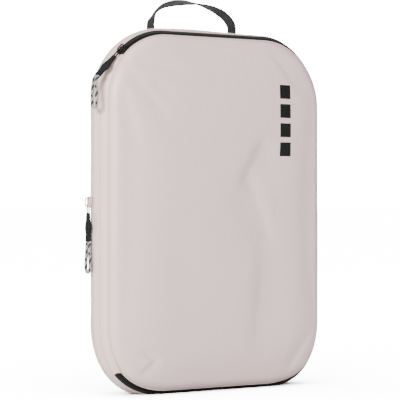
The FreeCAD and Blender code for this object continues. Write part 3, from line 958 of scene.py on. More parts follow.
def wall_line(shell: Shell, depth: float, lift: float, start: float, end: float) -> tuple[Array, Array]:
    """Places and outward directions along the wall at one depth, a millimetre apart."""
    arcs = np.arange(start, end, 0.001)
    return shell.point(arcs, depth, lift), shell.normal(arcs)


# ---------------------------------------------------------------- panels


@dataclass(frozen=True)
class Crease:
    """A soft fold pressed into a panel from one (x, z) place to another, steep on one side of its line."""

    start: tuple[float, float]
    end: tuple[float, float]
    depth: float
    steep: float
    long: float

    def press(self, x: Array, z: Array) -> Array:
        """How far the fold lies behind the panel's surface at places (x, z).

        The depth falls as a hump across the line, of one width on its left and another on its right, and
        fades over a tenth of the length at both ends.
        """
        start, end = np.array(self.start), np.array(self.end)
        run = end - start
        length = np.linalg.norm(run)
        run = run / length
        along = (x - start[0]) * run[0] + (z - start[1]) * run[1]
        across = (x - start[0]) * run[1] - (z - start[1]) * run[0]
        width = np.where(across > 0, self.steep, self.long)
        end_length = 0.1 * length
        fade = 1 / (1 + np.exp(-along / end_length)) / (1 + np.exp((along - length) / end_length))
        return self.depth * np.exp(-((across / width) ** 2)) * fade


FRONT_CREASES = (
    Crease((0.078, 0.060), (0.078, 0.300), 0.0042, 0.060, 0.048),
    Crease((0.024, 0.206), (0.050, 0.246), 0.0036, 0.030, 0.0085),
    Crease((0.054, 0.146), (0.024, 0.212), 0.0032, 0.011, 0.032),
    Crease((0.042, 0.050), (0.052, 0.146), 0.0025, 0.032, 0.013),
    Crease((-0.104, 0.322), (-0.050, 0.312), 0.0014, 0.0034, 0.0080),
    Crease((-0.108, 0.312), (-0.074, 0.274), 0.0016, 0.0075, 0.0036),
    Crease((-0.116, 0.296), (-0.100, 0.236), 0.0013, 0.0090, 0.0040),
    Crease((-0.086, 0.300), (-0.066, 0.290), 0.0010, 0.0040, 0.0060),
    Crease((-0.070, 0.150), (-0.040, 0.060), 0.0009, 0.020, 0.034),
    Crease((-0.096, 0.043), (-0.080, 0.034), 0.0014, 0.0022, 0.005),
    Crease((-0.080, 0.034), (-0.094, 0.022), 0.0014, 0.0022, 0.005),
    Crease((0.084, 0.020), (0.110, 0.052), 0.0014, 0.0036, 0.009),
    Crease((0.060, 0.338), (0.096, 0.300), 0.0010, 0.0034, 0.012),
)
BACK_CREASES = (
    Crease((-0.060, 0.250), (0.010, 0.210), 0.0012, 0.006, 0.028),
    Crease((0.020, 0.110), (-0.040, 0.190), 0.0011, 0.024, 0.006),
    Crease((0.090, 0.290), (0.050, 0.250), 0.0008, 0.003, 0.009),
    Crease((-0.092, 0.300), (-0.056, 0.262), 0.0008, 0.008, 0.003),
    Crease((-0.090, 0.050), (-0.050, 0.096), 0.0009, 0.003, 0.010),
    Crease((0.040, 0.050), (0.086, 0.074), 0.0008, 0.009, 0.003),
)


@dataclass(frozen=True)
class Panel:
    """A domed fabric panel sewn round its edge."""

    name: str
    seam: float
    direction: float
    height: float
    fullness: float = 3.4
    lift: float = -0.0003
    cells_across: int = 64
    cells_up: int = 88
    wall: float = 0.0007
    creases: tuple[Crease, ...] = ()
    cloth: ClothRun = field(default_factory=ClothRun)

    def build(self, shell: Shell) -> bpy.types.Object:
        """Dome over the seam's outline, settled as cloth, with its wall thickness.

        A square of unit half-width is laid over the outline: a place at share t from the middle goes to
        middle + t (edge - middle), and stands height (1 - t^fullness)^(1 / fullness) off the seam.

        Args:
            shell: the outline that the panel is sewn to.

        Returns:
            The panel's object, unparented.
        """
        a = np.linspace(-1, 1, self.cells_across + 1)[:, None]
        b = np.linspace(-1, 1, self.cells_up + 1)[None, :]
        a, b = np.broadcast_arrays(a, b)
        share = np.maximum(np.abs(a), np.abs(b))
        safe = np.where(share == 0, 1, share)
        arcs = self._edge_arc(shell, a / safe, b / safe)
        edge = shell.point(arcs, self.seam, self.lift)
        middle = np.array([0.0, self.seam, (shell.low + shell.high) / 2])
        points = middle + share[..., None] * (edge - middle)
        dome = self.height * (1 - share**self.fullness) ** (1 / self.fullness)
        points[..., 1] = self.seam + self.direction * dome
        points[..., 2] = np.maximum(points[..., 2], shell.floor_lift)
        uv = points[..., [0, 2]]
        obj = grid_object(self.name, points, uv, flip=self.direction > 0)
        flat = vertices(obj)
        outline = np.abs(flat[:, 1] - self.seam) < 1e-6
        self.cloth.settle(obj, outline)
        self._smooth(obj)
        places = vertices(obj)
        for crease in self.creases:
            places[:, 1] -= self.direction * crease.press(places[:, 0], places[:, 2])
        places[:, 2] = np.maximum(places[:, 2], shell.floor_lift)
        move_vertices(obj, places)
        thick = obj.modifiers.new("Wall", "SOLIDIFY")
        thick.thickness = self.wall
        thick.offset = -1.0
        finish_modifiers(obj)
        return obj

    def _smooth(self, obj: bpy.types.Object) -> None:
        """Subdivide the settled panel once."""
        smooth = obj.modifiers.new("Smooth", "SUBSURF")
        smooth.levels = smooth.render_levels = 1
        smooth.boundary_smooth = "PRESERVE_CORNERS"
        finish_modifiers(obj)

    def _edge_arc(self, shell: Shell, p: Array, q: Array) -> Array:
        """Arc of the seam that belongs to a place (p, q) on the edge of the unit square."""
        table = shell.track
        side = float(table[1, 0] + (table[2, 0] - table[1, 0]) / 2)
        across = float(shell.length / 2 - 2 * side)
        return np.select(
            [p >= 1 - 1e-9, q >= 1 - 1e-9, p <= -1 + 1e-9],
            [q * side, side + (1 - p) / 2 * across, side + across + (1 - q) * side],
            3 * side + across + (1 + p) / 2 * across,
        )


@dataclass(frozen=True)
class PrintedMark:
    """Four plain squares printed on the lid, in the places that the CAD gives them."""

    count: int = 4
    lift: float = 0.00012
    cells: int = 12

    def build(self, panel: bpy.types.Object) -> bpy.types.Object:
        """Lay each square on the panel's surface, one above the other.

        Args:
            panel: the finished lid panel.

        Returns:
            The mark's object, riding on the lid.
        """
        low, high = corners("printed_mark")
        size = high[0] - low[0]
        spacing = (high[2] - low[2] - size) / (self.count - 1)
        line = np.linspace(0, size, self.cells + 1)
        x, z = np.meshgrid(low[0] + line, low[2] + line, indexing="ij")
        square = np.stack([x, np.full_like(x, low[1] - 0.01), z], axis=-1)
        shift = np.arange(self.count)[:, None, None, None] * np.array([0.0, 0.0, spacing])
        squares = (square[None] + shift).reshape(self.count * (self.cells + 1), self.cells + 1, 3)
        i, j = np.meshgrid(np.arange(len(squares) - 1), np.arange(self.cells), indexing="ij")
        inside = (i % (self.cells + 1)) < self.cells
        i, j = i[inside], j[inside]
        steps = ((0, 0), (1, 0), (1, 1), (0, 1))
        faces = np.stack([(i + a) * (self.cells + 1) + j + b for a, b in steps], axis=-1)
        uv = np.stack([squares[i + a, j + b][:, [0, 2]] for a, b in steps], axis=-2)
        obj = mesh_object("mark_print", squares, faces, uv)
        wrap = obj.modifiers.new("Lay", "SHRINKWRAP")
        wrap.target = panel
        wrap.wrap_method = "PROJECT"
        wrap.use_project_y = True
        wrap.use_positive_direction = True
        wrap.offset = self.lift
        thick = obj.modifiers.new("Ink", "SOLIDIFY")
        thick.thickness = self.lift
        thick.offset = -1.0
        finish_modifiers(obj)
        BLACK_PRINT.dress(obj)
        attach(obj, "lid")
        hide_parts("printed_mark")
        return obj


@dataclass(frozen=True)
class SeamLip:
    """The rolled edge of a panel's fabric along its seam, gathered a little by each stitch."""

    name: str
    seam: float
    shift: float = 0.0
    radius: float = 0.0005
    inset_share: float = 0.6
    gather: float = 0.12
    pitch: float = 0.0030
    columns_per_stitch: int = 4
    sides: int = 8

    def build(self, shell: Shell) -> bpy.types.Object:
        """Carry a round section along the seam; its radius swells and narrows once for each stitch.

        Args:
            shell: the wall's shape.

        Returns:
            The lip's object, in the side fabric and unparented.
        """
        stitches = round(shell.length / self.pitch)
        arcs = np.linspace(0, shell.length, stitches * self.columns_per_stitch + 1)
        fat = self.radius * (1 + self.gather * np.sin(2 * np.pi * stitches * arcs[:-1] / shell.length))
        turn = np.linspace(0, 2 * np.pi, self.sides, endpoint=False)
        centre = shell.point(arcs[:-1], self.seam, -self.radius * self.inset_share)
        centre[:, 1] += self.shift
        out = shell.normal(arcs[:-1])
        rings = centre[:, None] + fat[:, None, None] * np.cos(turn)[None, :, None] * out[:, None]
        rings[..., 1] += fat[:, None] * np.sin(turn)[None, :]
        rings[..., 2] = np.maximum(rings[..., 2], shell.floor_lift)
        uv = uv_grid(arcs, np.linspace(0, 2 * np.pi * self.radius, self.sides + 1))
        obj = grid_object(self.name, rings, uv, wrap_u=True, wrap_v=True, flip=True)
        # the lip takes the ripstop copy with painted light on it
        SIDE_FABRIC_PAINTED_LIGHT.dress(obj)
        return obj


# ---------------------------------------------------------------- bag


@dataclass(frozen=True)
class ZipSpan:
    """Where the main zip and its end covers start and end round the bag, as outward angles in degrees."""

    upper: float = 135.0
    lower: float = 220.0
    strip_start: float = 137.5
    slider_room: float = 5.2
    upper_cover: tuple[float, float] = (140.5, 149.0)
    lower_cover: tuple[float, float] = (221.6, 213.0)


@dataclass(frozen=True)
class Sewing:
    """Measures of the small sewn parts, in metres."""

    tape_lift: float = 0.0001
    tape_thickness: float = 0.0008
    tape_edge: float = 0.00025
    tape_gap: float = 0.0006
    coil_lift: float = -0.0012
    coil_thickness: float = 0.0012
    coil_turn: float = 0.0016
    coil_bulge: float = 0.0004
    strip_crown: float = 0.0005
    cover_hollow: float = 0.0016
    cover_thickness: float = 0.0005
    fold_inset: float = 0.0032
    fold_depth: float = 0.0068
    fold_waves: int = 41
    fold_wave_share: float = 0.12
    lining_thickness: float = 0.0004
    fold_half_width: float = 0.006
    top_room: float = 0.001


class Bag:
    """The fabric body: panels, gussets, zip tapes and coils, seams and stitches."""

    def __init__(self, shell: Shell) -> None:
        """Keep the shell that all the bag's pieces follow."""
        self.shell = shell
        self.span = ZipSpan()
        self.sewing = Sewing()
        self.fold_x = joint("lid_fold")["pos_m"][0]

    def build(self) -> None:
        """Make every piece of the bag."""
        self.front()
        self.back()
        self.side_wall()
        self.main_zip()
        self.compression_zip()
        self.expansion()
        self.stitching()
        self.inner_trim()

    def _over_fold(self, obj: bpy.types.Object) -> None:
        """Bake a piece's placement into its mesh."""
        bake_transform(obj)

    def front(self) -> None:
        """Front panel with its folds, its rolled seam and the printed mark."""
        low, _ = corners("front_panel")
        height = self.shell.seam - low[1] + self.sewing.top_room
        panel = Panel("front_fabric", self.shell.seam, -1.0, height, creases=FRONT_CREASES).build(self.shell)
        SHELL_FABRIC.dress(panel)
        PrintedMark().build(panel)
        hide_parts("front_panel", "hinge_panel")
        self._over_fold(panel)
        self._over_fold(SeamLip("front_seam_lip", self.shell.seam, shift=-0.0002).build(self.shell))
        LOG.info("front panel")

    def back(self) -> None:
        """Back panel with its rolled seam."""
        _, high = corners("rear_panel")
        height = high[1] - self.shell.rear
        cloth = ClothRun(push=(0.0, 7.0, -1.0), reach=0.003)
        panel = Panel("back_fabric", self.shell.rear, 1.0, height, creases=BACK_CREASES, cloth=cloth)
        panel = panel.build(self.shell)
        SHELL_FABRIC.dress(panel)
        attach(panel, "rear_tub")
        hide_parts("rear_panel")
        piping = SeamLip(
            "back_piping", self.shell.rear, inset_share=0.4, gather=0.0, columns_per_stitch=1, sides=10
        )
        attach(piping.build(self.shell), "rear_tub")
        LOG.info("back panel")

    def side_wall(self) -> None:
        """Front gusset, rear gusset and the strip that closes the side without a zip."""
        shell, span = self.shell, self.span
        front = Band("front_gusset_fabric", "front_frame", shell.zip_back, shell.crest_front, rows=10)
        rear = Band("rear_gusset_fabric", "rear_tub", shell.crest_back, shell.rear, rows=16)
        ends = {"start": shell.arc_at(span.strip_start), "end": shell.arc_at(span.lower)}

        def concave(arc: Array, share: Array) -> Array:
            """Soft crown across the strip."""
            return self.sewing.strip_crown * np.sin(np.pi * share) + 0 * arc

        strip = Band("hinge_strip_fabric", "front_frame", shell.seam, shell.zip_back, rows=8, **ends)
        strip = replace(strip, thickness=0.0007, step=0.002)
        for band, relief, node in (
            (front, None, "front_gusset"),
            (rear, None, "rear_gusset"),
            (strip, concave, "hinge_strip"),
        ):
            obj = band.build(shell, relief)
            # side pieces take the ripstop copy that is painted lighter, as painted light from the left
            SIDE_FABRIC_PAINTED_LIGHT.dress(obj)
            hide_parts(node)
        self._end_covers()
        LOG.info("side wall")

    def _end_covers(self) -> None:
        """Small fabric covers over both ends of the main zip; their free edges are hollowed."""
        shell, span = self.shell, self.span
        for name, node, angles in (
            ("upper_end_cover", "zip_end_tab_upper", span.upper_cover),
            ("lower_end_cover", "zip_end_tab_lower", span.lower_cover),
        ):
            free, sewn = (shell.arc_at(angle) for angle in angles)
            share_u = np.linspace(0, 1, 15)[:, None]
            share_v = np.linspace(0, 1, 13)[None, :]
            hollow = self.sewing.cover_hollow * (1 - (2 * share_v - 1) ** 2) * np.sign(sewn - free)
            arcs = free + hollow + (sewn - free - hollow) * share_u
            depths = shell.seam + 0.0001 + (shell.zip_back - shell.seam - 0.0002) * share_v
            lift = 0.0008 + 0.0003 * np.sin(np.pi * share_v) - 0.0006 * share_u
            outer = shell.point(arcs, depths, lift)
            inner = shell.point(arcs, depths, lift - self.sewing.cover_thickness)
            points = np.concatenate([outer, inner[:, ::-1]], axis=1)
            width = shell.zip_back - shell.seam
            across = np.concatenate([share_v[0], share_v[0][::-1], share_v[0][:1]]) * width
            uv = uv_grid(with_ends(share_u[:, 0]) * abs(sewn - free), across)
            obj = grid_object(name, capped(points), uv, wrap_v=True, flip=sewn > free)
            # end covers take the ripstop copy with painted light on it
            SIDE_FABRIC_PAINTED_LIGHT.dress(obj)
            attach(obj, "front_frame")
            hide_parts(node)

    def _tape(self, name: str, body: str, front: float, back: float, **ends: float) -> bpy.types.Object:
        """Zip tape whose long edges are rounded and which stands a hair above the fabric."""
        sewing = self.sewing
        band = Band(name, body, front, back, sewing.tape_lift, sewing.tape_thickness, rows=8, step=0.002, **ends)

        def crown(arc: Array, share: Array) -> Array:
            """Rounded edges: the fourth power of the distance from the middle."""
            return -sewing.tape_edge * (2 * share - 1) ** 4 + 0 * arc

        return band.build(self.shell, crown)

    def _coil(self, name: str, body: str, front: float, back: float, **ends: float) -> bpy.types.Object:
        """Nylon coil under the tape, with a bulge for each turn."""
        sewing = self.sewing
        band = Band(name, body, front, back, sewing.coil_lift, sewing.coil_thickness, rows=4, step=0.0004, **ends)

        def turns(arc: Array, share: Array) -> Array:
            """One bulge for each turn: |sin| along the coil, fading to its edges."""
            wave = np.abs(np.sin(np.pi * arc / sewing.coil_turn)) * np.sin(np.pi * share)
            return sewing.coil_bulge * (wave - 0.5)

        return band.build(self.shell, turns)

    def main_zip(self) -> None:
        """Black tapes and coils on three sides; the lid's half starts past the slider."""
        shell, span = self.shell, self.span
        lower = shell.arc_at(span.lower) - shell.length
        upper = shell.arc_at(span.upper)
        middle = joint("main_puller_swing")["pos_m"][1]
        gap = self.sewing.tape_gap
        fixed = {"start": lower - 0.001, "end": upper + 0.003}
        lid = {"start": lower + 0.0006, "end": shell.arc_at(span.upper - span.slider_room)}
        tapes = (
            ("main_tape_frame", "front_frame", middle + gap, shell.zip_back, fixed, "main_tape_gusset"),
            ("main_tape_cover", "lid", shell.seam, middle - gap, lid, "main_tape_lid"),
        )
        coils = (
            ("main_coil_frame", "front_frame", middle + 0.0009, middle + 0.0031, fixed, "main_coil_gusset"),
            ("main_coil_cover", "lid", middle - 0.0026, middle - 0.0008, lid, "main_coil_lid"),
        )
        for make, finish, rows in ((self._tape, BLACK_TAPE, tapes), (self._coil, BLACK_COIL, coils)):
            for name, body, front, back, ends, node in rows:
                obj = make(name, body, front, back, **ends)
                finish.dress(obj)
                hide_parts(node)
        LOG.info("main zip")

    def compression_zip(self) -> None:
        """Pale tapes and coils all the way round the crest."""
        shell = self.shell
        middle = (shell.crest_front + shell.crest_back) / 2
        for side, body, edge in ((-1, "front_frame", shell.crest_front), (1, "rear_tub", shell.crest_back)):
            near = middle + side * self.sewing.tape_gap
            low, high = sorted((edge, near))
            name = "front" if side < 0 else "rear"
            tape = self._tape(f"compression_tape_{name}_half", body, low, high)
            PALE_TAPE.dress(tape)
            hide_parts(f"compression_tape_{name}")
            low, high = sorted((middle + side * 0.0008, middle + side * 0.0030))
            coil = self._coil(f"compression_coil_{name}_half", body, low, high)
            PALE_COIL.dress(coil)
            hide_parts(f"compression_coil_{name}")
        LOG.info("compression zip")

    def expansion(self) -> None:
        """Thin gusset folded inside between the compression tapes, which opens out when the bag grows.

        Its section runs in from the rear tape, round a fold and back to the front tape: the inset is
        fold depth sin(pi share)^0.7, and the depth goes evenly from tape to tape.
        """
        shell, sewing = self.shell, self.sewing
        arcs = np.linspace(0, shell.length, 365)
        share = np.linspace(0, 1, 33)
        depth = shell.crest_front + 0.0008 + (shell.crest_back - shell.crest_front - 0.0016) * share
        turn = 2 * np.pi * arcs[:-1] / shell.length
        wave = 1 + sewing.fold_wave_share * np.sin(sewing.fold_waves * turn)[:, None]
        inset = sewing.fold_inset + sewing.fold_depth * np.sin(np.pi * share)[None, :] ** 0.7 * wave
        outer = shell.point(arcs[:-1, None], depth[None, :], -inset)
        uv = uv_grid(arcs, np.linspace(0, 0.024, len(share)))
        obj = grid_object("expansion_gusset_fabric", outer, uv, wrap_u=True, flip=True)
        thick = obj.modifiers.new("Wall", "SOLIDIFY")
        thick.thickness = sewing.lining_thickness
        finish_modifiers(obj)
        LINING.dress(obj)
        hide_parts("expansion_gusset")
        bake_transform(obj)
        LOG.info("expansion gusset")

    def stitching(self) -> None:
        """Rows of stitches along every seam of the side wall."""
        shell, span = self.shell, self.span
        whole = (0.0, shell.length)
        zipped = (shell.arc_at(span.lower) - shell.length, shell.arc_at(span.upper - span.slider_room))
        strip = (shell.arc_at(span.strip_start + 3), shell.arc_at(span.lower - 3))
        rows = (
            ("stitch_zip_back", "front_frame", shell.zip_back + 0.0012, whole, PALE_THREAD),
            ("stitch_crest_front", "front_frame", shell.crest_front - 0.0012, whole, PALE_THREAD),
            ("stitch_crest_back", "rear_tub", shell.crest_back + 0.0012, whole, PALE_THREAD),
            ("stitch_rear", "rear_tub", shell.rear - 0.0016, whole, PALE_THREAD),
            ("stitch_strip_front", "front_frame", shell.seam + 0.0011, strip, PALE_THREAD),
            ("stitch_strip_back", "front_frame", shell.zip_back - 0.0011, strip, PALE_THREAD),
            ("stitch_lid_tape", "lid", shell.seam + 0.0009, zipped, BLACK_THREAD),
        )
        for name, body, depth, (start, end), finish in rows:
            line, outward = wall_line(shell, depth, 0.0001, start, end)
            StitchRow(name, body).build(line, outward, finish)
        LOG.info("stitching")

    def inner_trim(self) -> None:
        """Binding tapes that cover the raw edges inside the lid's seam and the back panel's seam."""
        shell, span = self.shell, self.span
        start, end = shell.arc_at(span.lower) - shell.length, shell.arc_at(span.upper)
        seam, rear = shell.seam, shell.rear
        lid_tape = Band("lid_seam_binding", "lid", seam - 0.0032, seam - 0.0006, lift=-0.0027, rows=4)
        lid_tape = replace(lid_tape, start=start, end=end, step=0.002)
        rear_tape = Band("rear_seam_binding", "rear_tub", rear - 0.0060, rear - 0.0004, lift=-0.0012, rows=4)
        rear_tape = replace(rear_tape, thickness=0.0007)
        for band, node in ((lid_tape, "lid_binding"), (rear_tape, "rear_binding")):
            obj = band.build(shell)
            BINDING.dress(obj)
            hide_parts(node)


# ---------------------------------------------------------------- zip sliders and pullers


@dataclass(frozen=True)
class SliderPlace:
    """Where one slider stands: its puller's pin, and the directions along, across and out of its track."""

    name: str
    pin: Array
    along: Array
    across: Array
    outward: Array

    @classmethod
    def from_joint(cls, name: str, joint_name: str, along: Array) -> "SliderPlace":
        """Place read from the puller's joint, whose axis is the pin."""
        entry = joint(joint_name)
        across = -unit(np.array(entry["axis"], float))
        along = unit(along)
        return cls(name, np.array(entry["pos_m"], float), along, across, np.cross(along, across))

    def local(self, along: Value, across: Value, outward: Value) -> Array:
        """Points by their distances from the pin in the slider's three directions, (..., 3)."""
        steps = np.broadcast_arrays(along, across, outward)
        return self.pin + np.stack(steps, axis=-1) @ np.array([self.along, self.across, self.outward])


@dataclass(frozen=True)
class SliderSet:
    """Slider, bail, link and grip of one zip."""

    place: SliderPlace
    body: str
    puller: str
    metal: Finish
    link_finish: Finish
    plate_top: float = -0.0009
    plate_thickness: float = 0.0016
    plate_crown: float = 0.00012
    throat: float = 0.0036
    inner_thickness: float = 0.0012
    inner_scale: float = 0.84
    post_half_width: float = 0.00045
    post_half_length: float = 0.0014
    post_overlap: float = 0.0004
    half_length: float = 0.0055
    half_width: float = 0.0037
    centre: float = -0.0022
    bail_half: float = 0.0048
    bail_height: float = 0.0048
    wire: float = 0.00070
    bail_wire: float = 0.00075
    shackle_wire: float = 0.00072
    link_length: float = 0.0090
    arm_offset: float = 0.0018
    grip_length: float = 0.0270
    grip_half_thickness: float = 0.0021
    groove_depth: float = 0.00014
    neck: float = 0.0024
    lead: float = 0.0008

    def build(self) -> None:
        """Make the four pieces in place of their CAD nodes."""
        self._plates()
        self._bail()
        self._link()
        self._grip()
        LOG.info("%s slider and puller", self.place.name)

    def _name(self, piece: str) -> str:
        """Name of a piece of this set."""
        return f"{self.place.name}_{piece}"

    def _finish(self, obj: bpy.types.Object, finish: Finish, body: str, node: str) -> None:
        """Dress a piece, let it ride on its body and put it in place of its CAD node."""
        finish.dress(obj)
        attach(obj, body)
        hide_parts(self._name(node))

    def _plate(self, top: float, thickness: float, scale: float) -> Array:
        """Closed plate: a rounded outline, wider at the leading end, swept through a rounded edge.

        At turn t the outline is (length cos t, width (1 - 0.16 cos t) sin t) with both powers softened to a
        superellipse, and each layer draws in by the fourth root of its share of the thickness.
        """
        turn = np.linspace(0, 2 * np.pi, 40, endpoint=False)
        x = self.half_length * scale * softened(np.cos(turn), 0.55)
        y = self.half_width * scale * (1 - 0.16 * np.cos(turn)) * softened(np.sin(turn), 0.6)
        level = np.array([1.0, 1.0, 0.96, 0.75, 0.35, -0.35, -0.75, -0.96, -1.0, -1.0])
        size = (1 - np.abs(level) ** 4) ** 0.25
        size[[0, -1]] = 0.0
        size[[1, -2]] = 0.82
        size = np.where(size > 0, 0.9 + 0.1 * size, 0.0)
        crown = thickness / 2 * level + self.plate_crown * (level > 0.99) * (size == 0)
        return self.place.local(
            self.centre + x[None, :] * size[:, None],
            y[None, :] * size[:, None],
            (top - thickness / 2 + crown)[:, None],
        )

    def _plates(self) -> None:
        """Outer plate, inner plate and the post between them, joined into one object."""
        inner_top = self.plate_top - self.plate_thickness - self.throat
        outer = self._plate(self.plate_top, self.plate_thickness, 1.0)
        inner = self._plate(inner_top, self.inner_thickness, self.inner_scale)
        uv = uv_grid(np.linspace(0, 0.004, len(outer)), np.linspace(0, 0.03, outer.shape[1] + 1))[..., ::-1]
        parts = [grid_object(self._name("plate"), plate, uv, wrap_v=True) for plate in (outer, inner)]
        heights = np.array([self.plate_top, inner_top]) - self.post_overlap
        ends = self.place.local(self.centre, 0.0, heights)
        path = ends[0] + (ends[1] - ends[0]) * np.linspace(0, 1, 6)[:, None]
        width, height = np.full((6, 1), self.post_half_width), np.full((6, 1), self.post_half_length)
        parts.append(tube_object(self._name("post"), path, width, height, self.place.along))
        self._finish(joined(self._name("slider"), parts), self.metal, self.body, "slider_body")

    def _wire(self, along: Array, across: Value, out: Value, count: int) -> Array:
        """Line of a bent wire through places given by their distances from the pin, its bends rounded."""
        places = np.stack(np.broadcast_arrays(along, across, out), axis=-1)
        fine = np.linspace(0, len(along) - 1, count)
        return rounded(self.place.local(*sampled(fine, np.arange(len(along)), places).T))

    def _bail(self) -> None:
        """Hooked wire on the outer plate: it rises behind the pin, runs forward and turns down again."""
        top = self.plate_top
        peak = top + self.bail_height - self.wire
        back = self.centre + self.bail_half - self.wire
        nose = self.centre - self.bail_half + self.wire
        along = np.array([back, back, back - 0.0004, back - 0.0012, nose + 0.0012, nose + 0.0003, nose, nose])
        drops = np.array([0.0012, 0.0003, 0.0, 0.0, 0.0005, 0.0014])
        out = np.concatenate([[top - 0.0003], peak - drops, [top + 0.0004]])
        path = self._wire(along, 0.0, out, 57)
        width, height = np.full((len(path), 1), self.bail_wire), np.full((len(path), 1), self.wire * 0.92)
        up = self.place.outward + 0.3 * self.place.along
        obj = tube_object(self._name("hook"), path, width, height, up, sides=14)
        self._finish(obj, self.metal, self.body, "slider_bail")

    def _link(self) -> None:
        """Shackle of wire: the pin through the bail, and two arms that run to the grip and meet there."""
        reach = self.link_length + 0.0004
        half = np.array([reach, reach * 0.95, 0.0014, 0.0004, 0.0])
        along = np.concatenate([half, [0.0], half[::-1]])
        side = np.array([0.30, 0.95, 1.0, 0.92, 0.6])
        across = np.concatenate([side, [0.0], -side[::-1]]) * self.arm_offset
        path = self._wire(along, across, 0.0, 81)
        radius = np.full((len(path), 1), self.shackle_wire)
        obj = tube_object(self._name("shackle"), path, radius, radius, self.place.outward)
        self._finish(obj, self.link_finish, self.puller, "pull_link")

    def _grip(self) -> None:
        """Moulded grip with two bulges on a slim neck.

        The half-width is neck + 2.4 mm hump at 52% + 1.6 mm hump at 93% of its length, the section is a
        superellipse, and five shallow grooves cross the first bulge.
        """
        share = np.concatenate([[0.0, 0.0], np.linspace(0.004, 0.996, 96), [1.0, 1.0]])
        width = self.neck + 0.0024 * bump(share, 0.52, 0.20) + 0.0016 * bump(share, 0.93, 0.14)
        height = self.grip_half_thickness * (0.72 + 0.28 * bump(share, 0.5, 0.45))
        grooves = bump(share, 0.52, 0.15) * np.sin(2 * np.pi * share / 0.058) ** 2
        height = height - self.groove_depth * grooves
        rounding = np.clip(np.minimum(share, 1 - share) / 0.035, 0, 1)
        size = 0.55 + 0.45 * np.sqrt(1 - (1 - rounding) ** 2)
        size[[0, -1]] = 0.0
        turn = np.linspace(0, 2 * np.pi, 28, endpoint=False)
        start, run = self.link_length - self.lead, self.grip_length + self.lead
        points = self.place.local(
            (start + share * run)[:, None],
            (size * width)[:, None] * softened(np.cos(turn), 0.75),
            (size * height)[:, None] * softened(np.sin(turn), 0.75),
        )
        uv = uv_grid(share * run, np.linspace(0, 0.018, len(turn) + 1))[..., ::-1]
        obj = grid_object(self._name("grip"), points, uv, wrap_v=True, flip=True)
        self._finish(obj, GRIP_RUBBER, self.puller, "pull_grip")


def rounded(path: Array) -> Array:
    """A path smoothed by four passes of averaging each inner point with its neighbours."""
    path = path.copy()
    for _ in range(4):
        path[1:-1] = (path[:-2] + 2 * path[1:-1] + path[2:]) / 4
    return path


def joined(name: str, parts: Sequence[bpy.types.Object]) -> bpy.types.Object:
    """One object from several, which are removed."""
    work = bmesh.new()
    for part in parts:
        work.from_mesh(part.data)
    mesh = bpy.data.meshes.new(name)
    work.to_mesh(mesh)
    work.free()
    for part in parts:
        bpy.data.objects.remove(part)
    mesh.polygons.foreach_set("use_smooth", np.ones(len(mesh.polygons), bool))
    obj = bpy.data.objects.new(name, mesh)
    bpy.context.scene.collection.objects.link(obj)
    return obj


# ---------------------------------------------------------------- pull cords


@dataclass(frozen=True)
class PullCord:
    """Braided cord loop that hangs from a grip: both its ends are moulded into the grip."""

    name: str
    puller: str
    grip: str
    route: tuple[tuple[float, float, float], ...]
    length: float
    diameter: float = 0.0032
    sides: int = 20
    weave_depth: float = 0.00009
    pitch: float = 0.0038
    stations: int = 220

    def build(self) -> None:
        """Tube along the route's smooth line, its surface raised where strands pass on top."""
        line = self._line()
        run = run_along(line)
        stops = np.linspace(0, run[-1], self.stations)
        path = sampled(stops, run, line)
        strand = 4 * np.arange(self.sides) / self.sides
        lay = stops[:, None] / self.pitch
        ridge = np.maximum(np.abs(np.sin(np.pi * (strand + lay))), np.abs(np.sin(np.pi * (strand - lay))))
        radius = self.diameter / 2 - self.weave_depth + self.weave_depth * 1.6 * ridge
        obj = tube_object(self.name, path, radius, radius, (1.0, 0.02, 0.01), self.sides)
        CORD_BRAID.dress(obj)
        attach(obj, self.puller)
        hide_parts(f"{self.grip}_pull_cord")
        self.length
        LOG.info("%s, %.1f mm", self.name, 1000 * run[-1])

    def _line(self) -> Array:
        """Points along the route's spline."""
        curve = bpy.data.curves.new(self.name + "_line", "CURVE")
        curve.dimensions = "3D"
        curve.resolution_u = 24
        spline = curve.splines.new("NURBS")
        spline.points.add(len(self.route) - 1)
        places = np.concatenate([np.array(self.route), np.ones((len(self.route), 1))], axis=1)
        spline.points.foreach_set("co", places.ravel())
        spline.order_u = 3
        spline.use_endpoint_u = True
        obj = bpy.data.objects.new(self.name + "_line", curve)
        bpy.context.scene.collection.objects.link(obj)
        bpy.context.view_layer.update()
        mesh = bpy.data.meshes.new_from_object(obj.evaluated_get(bpy.context.evaluated_depsgraph_get()))
        path = np.empty(len(mesh.vertices) * 3)
        mesh.vertices.foreach_get("co", path)
        bpy.data.objects.remove(obj)
        bpy.data.meshes.remove(mesh)
        return path.reshape(-1, 3)


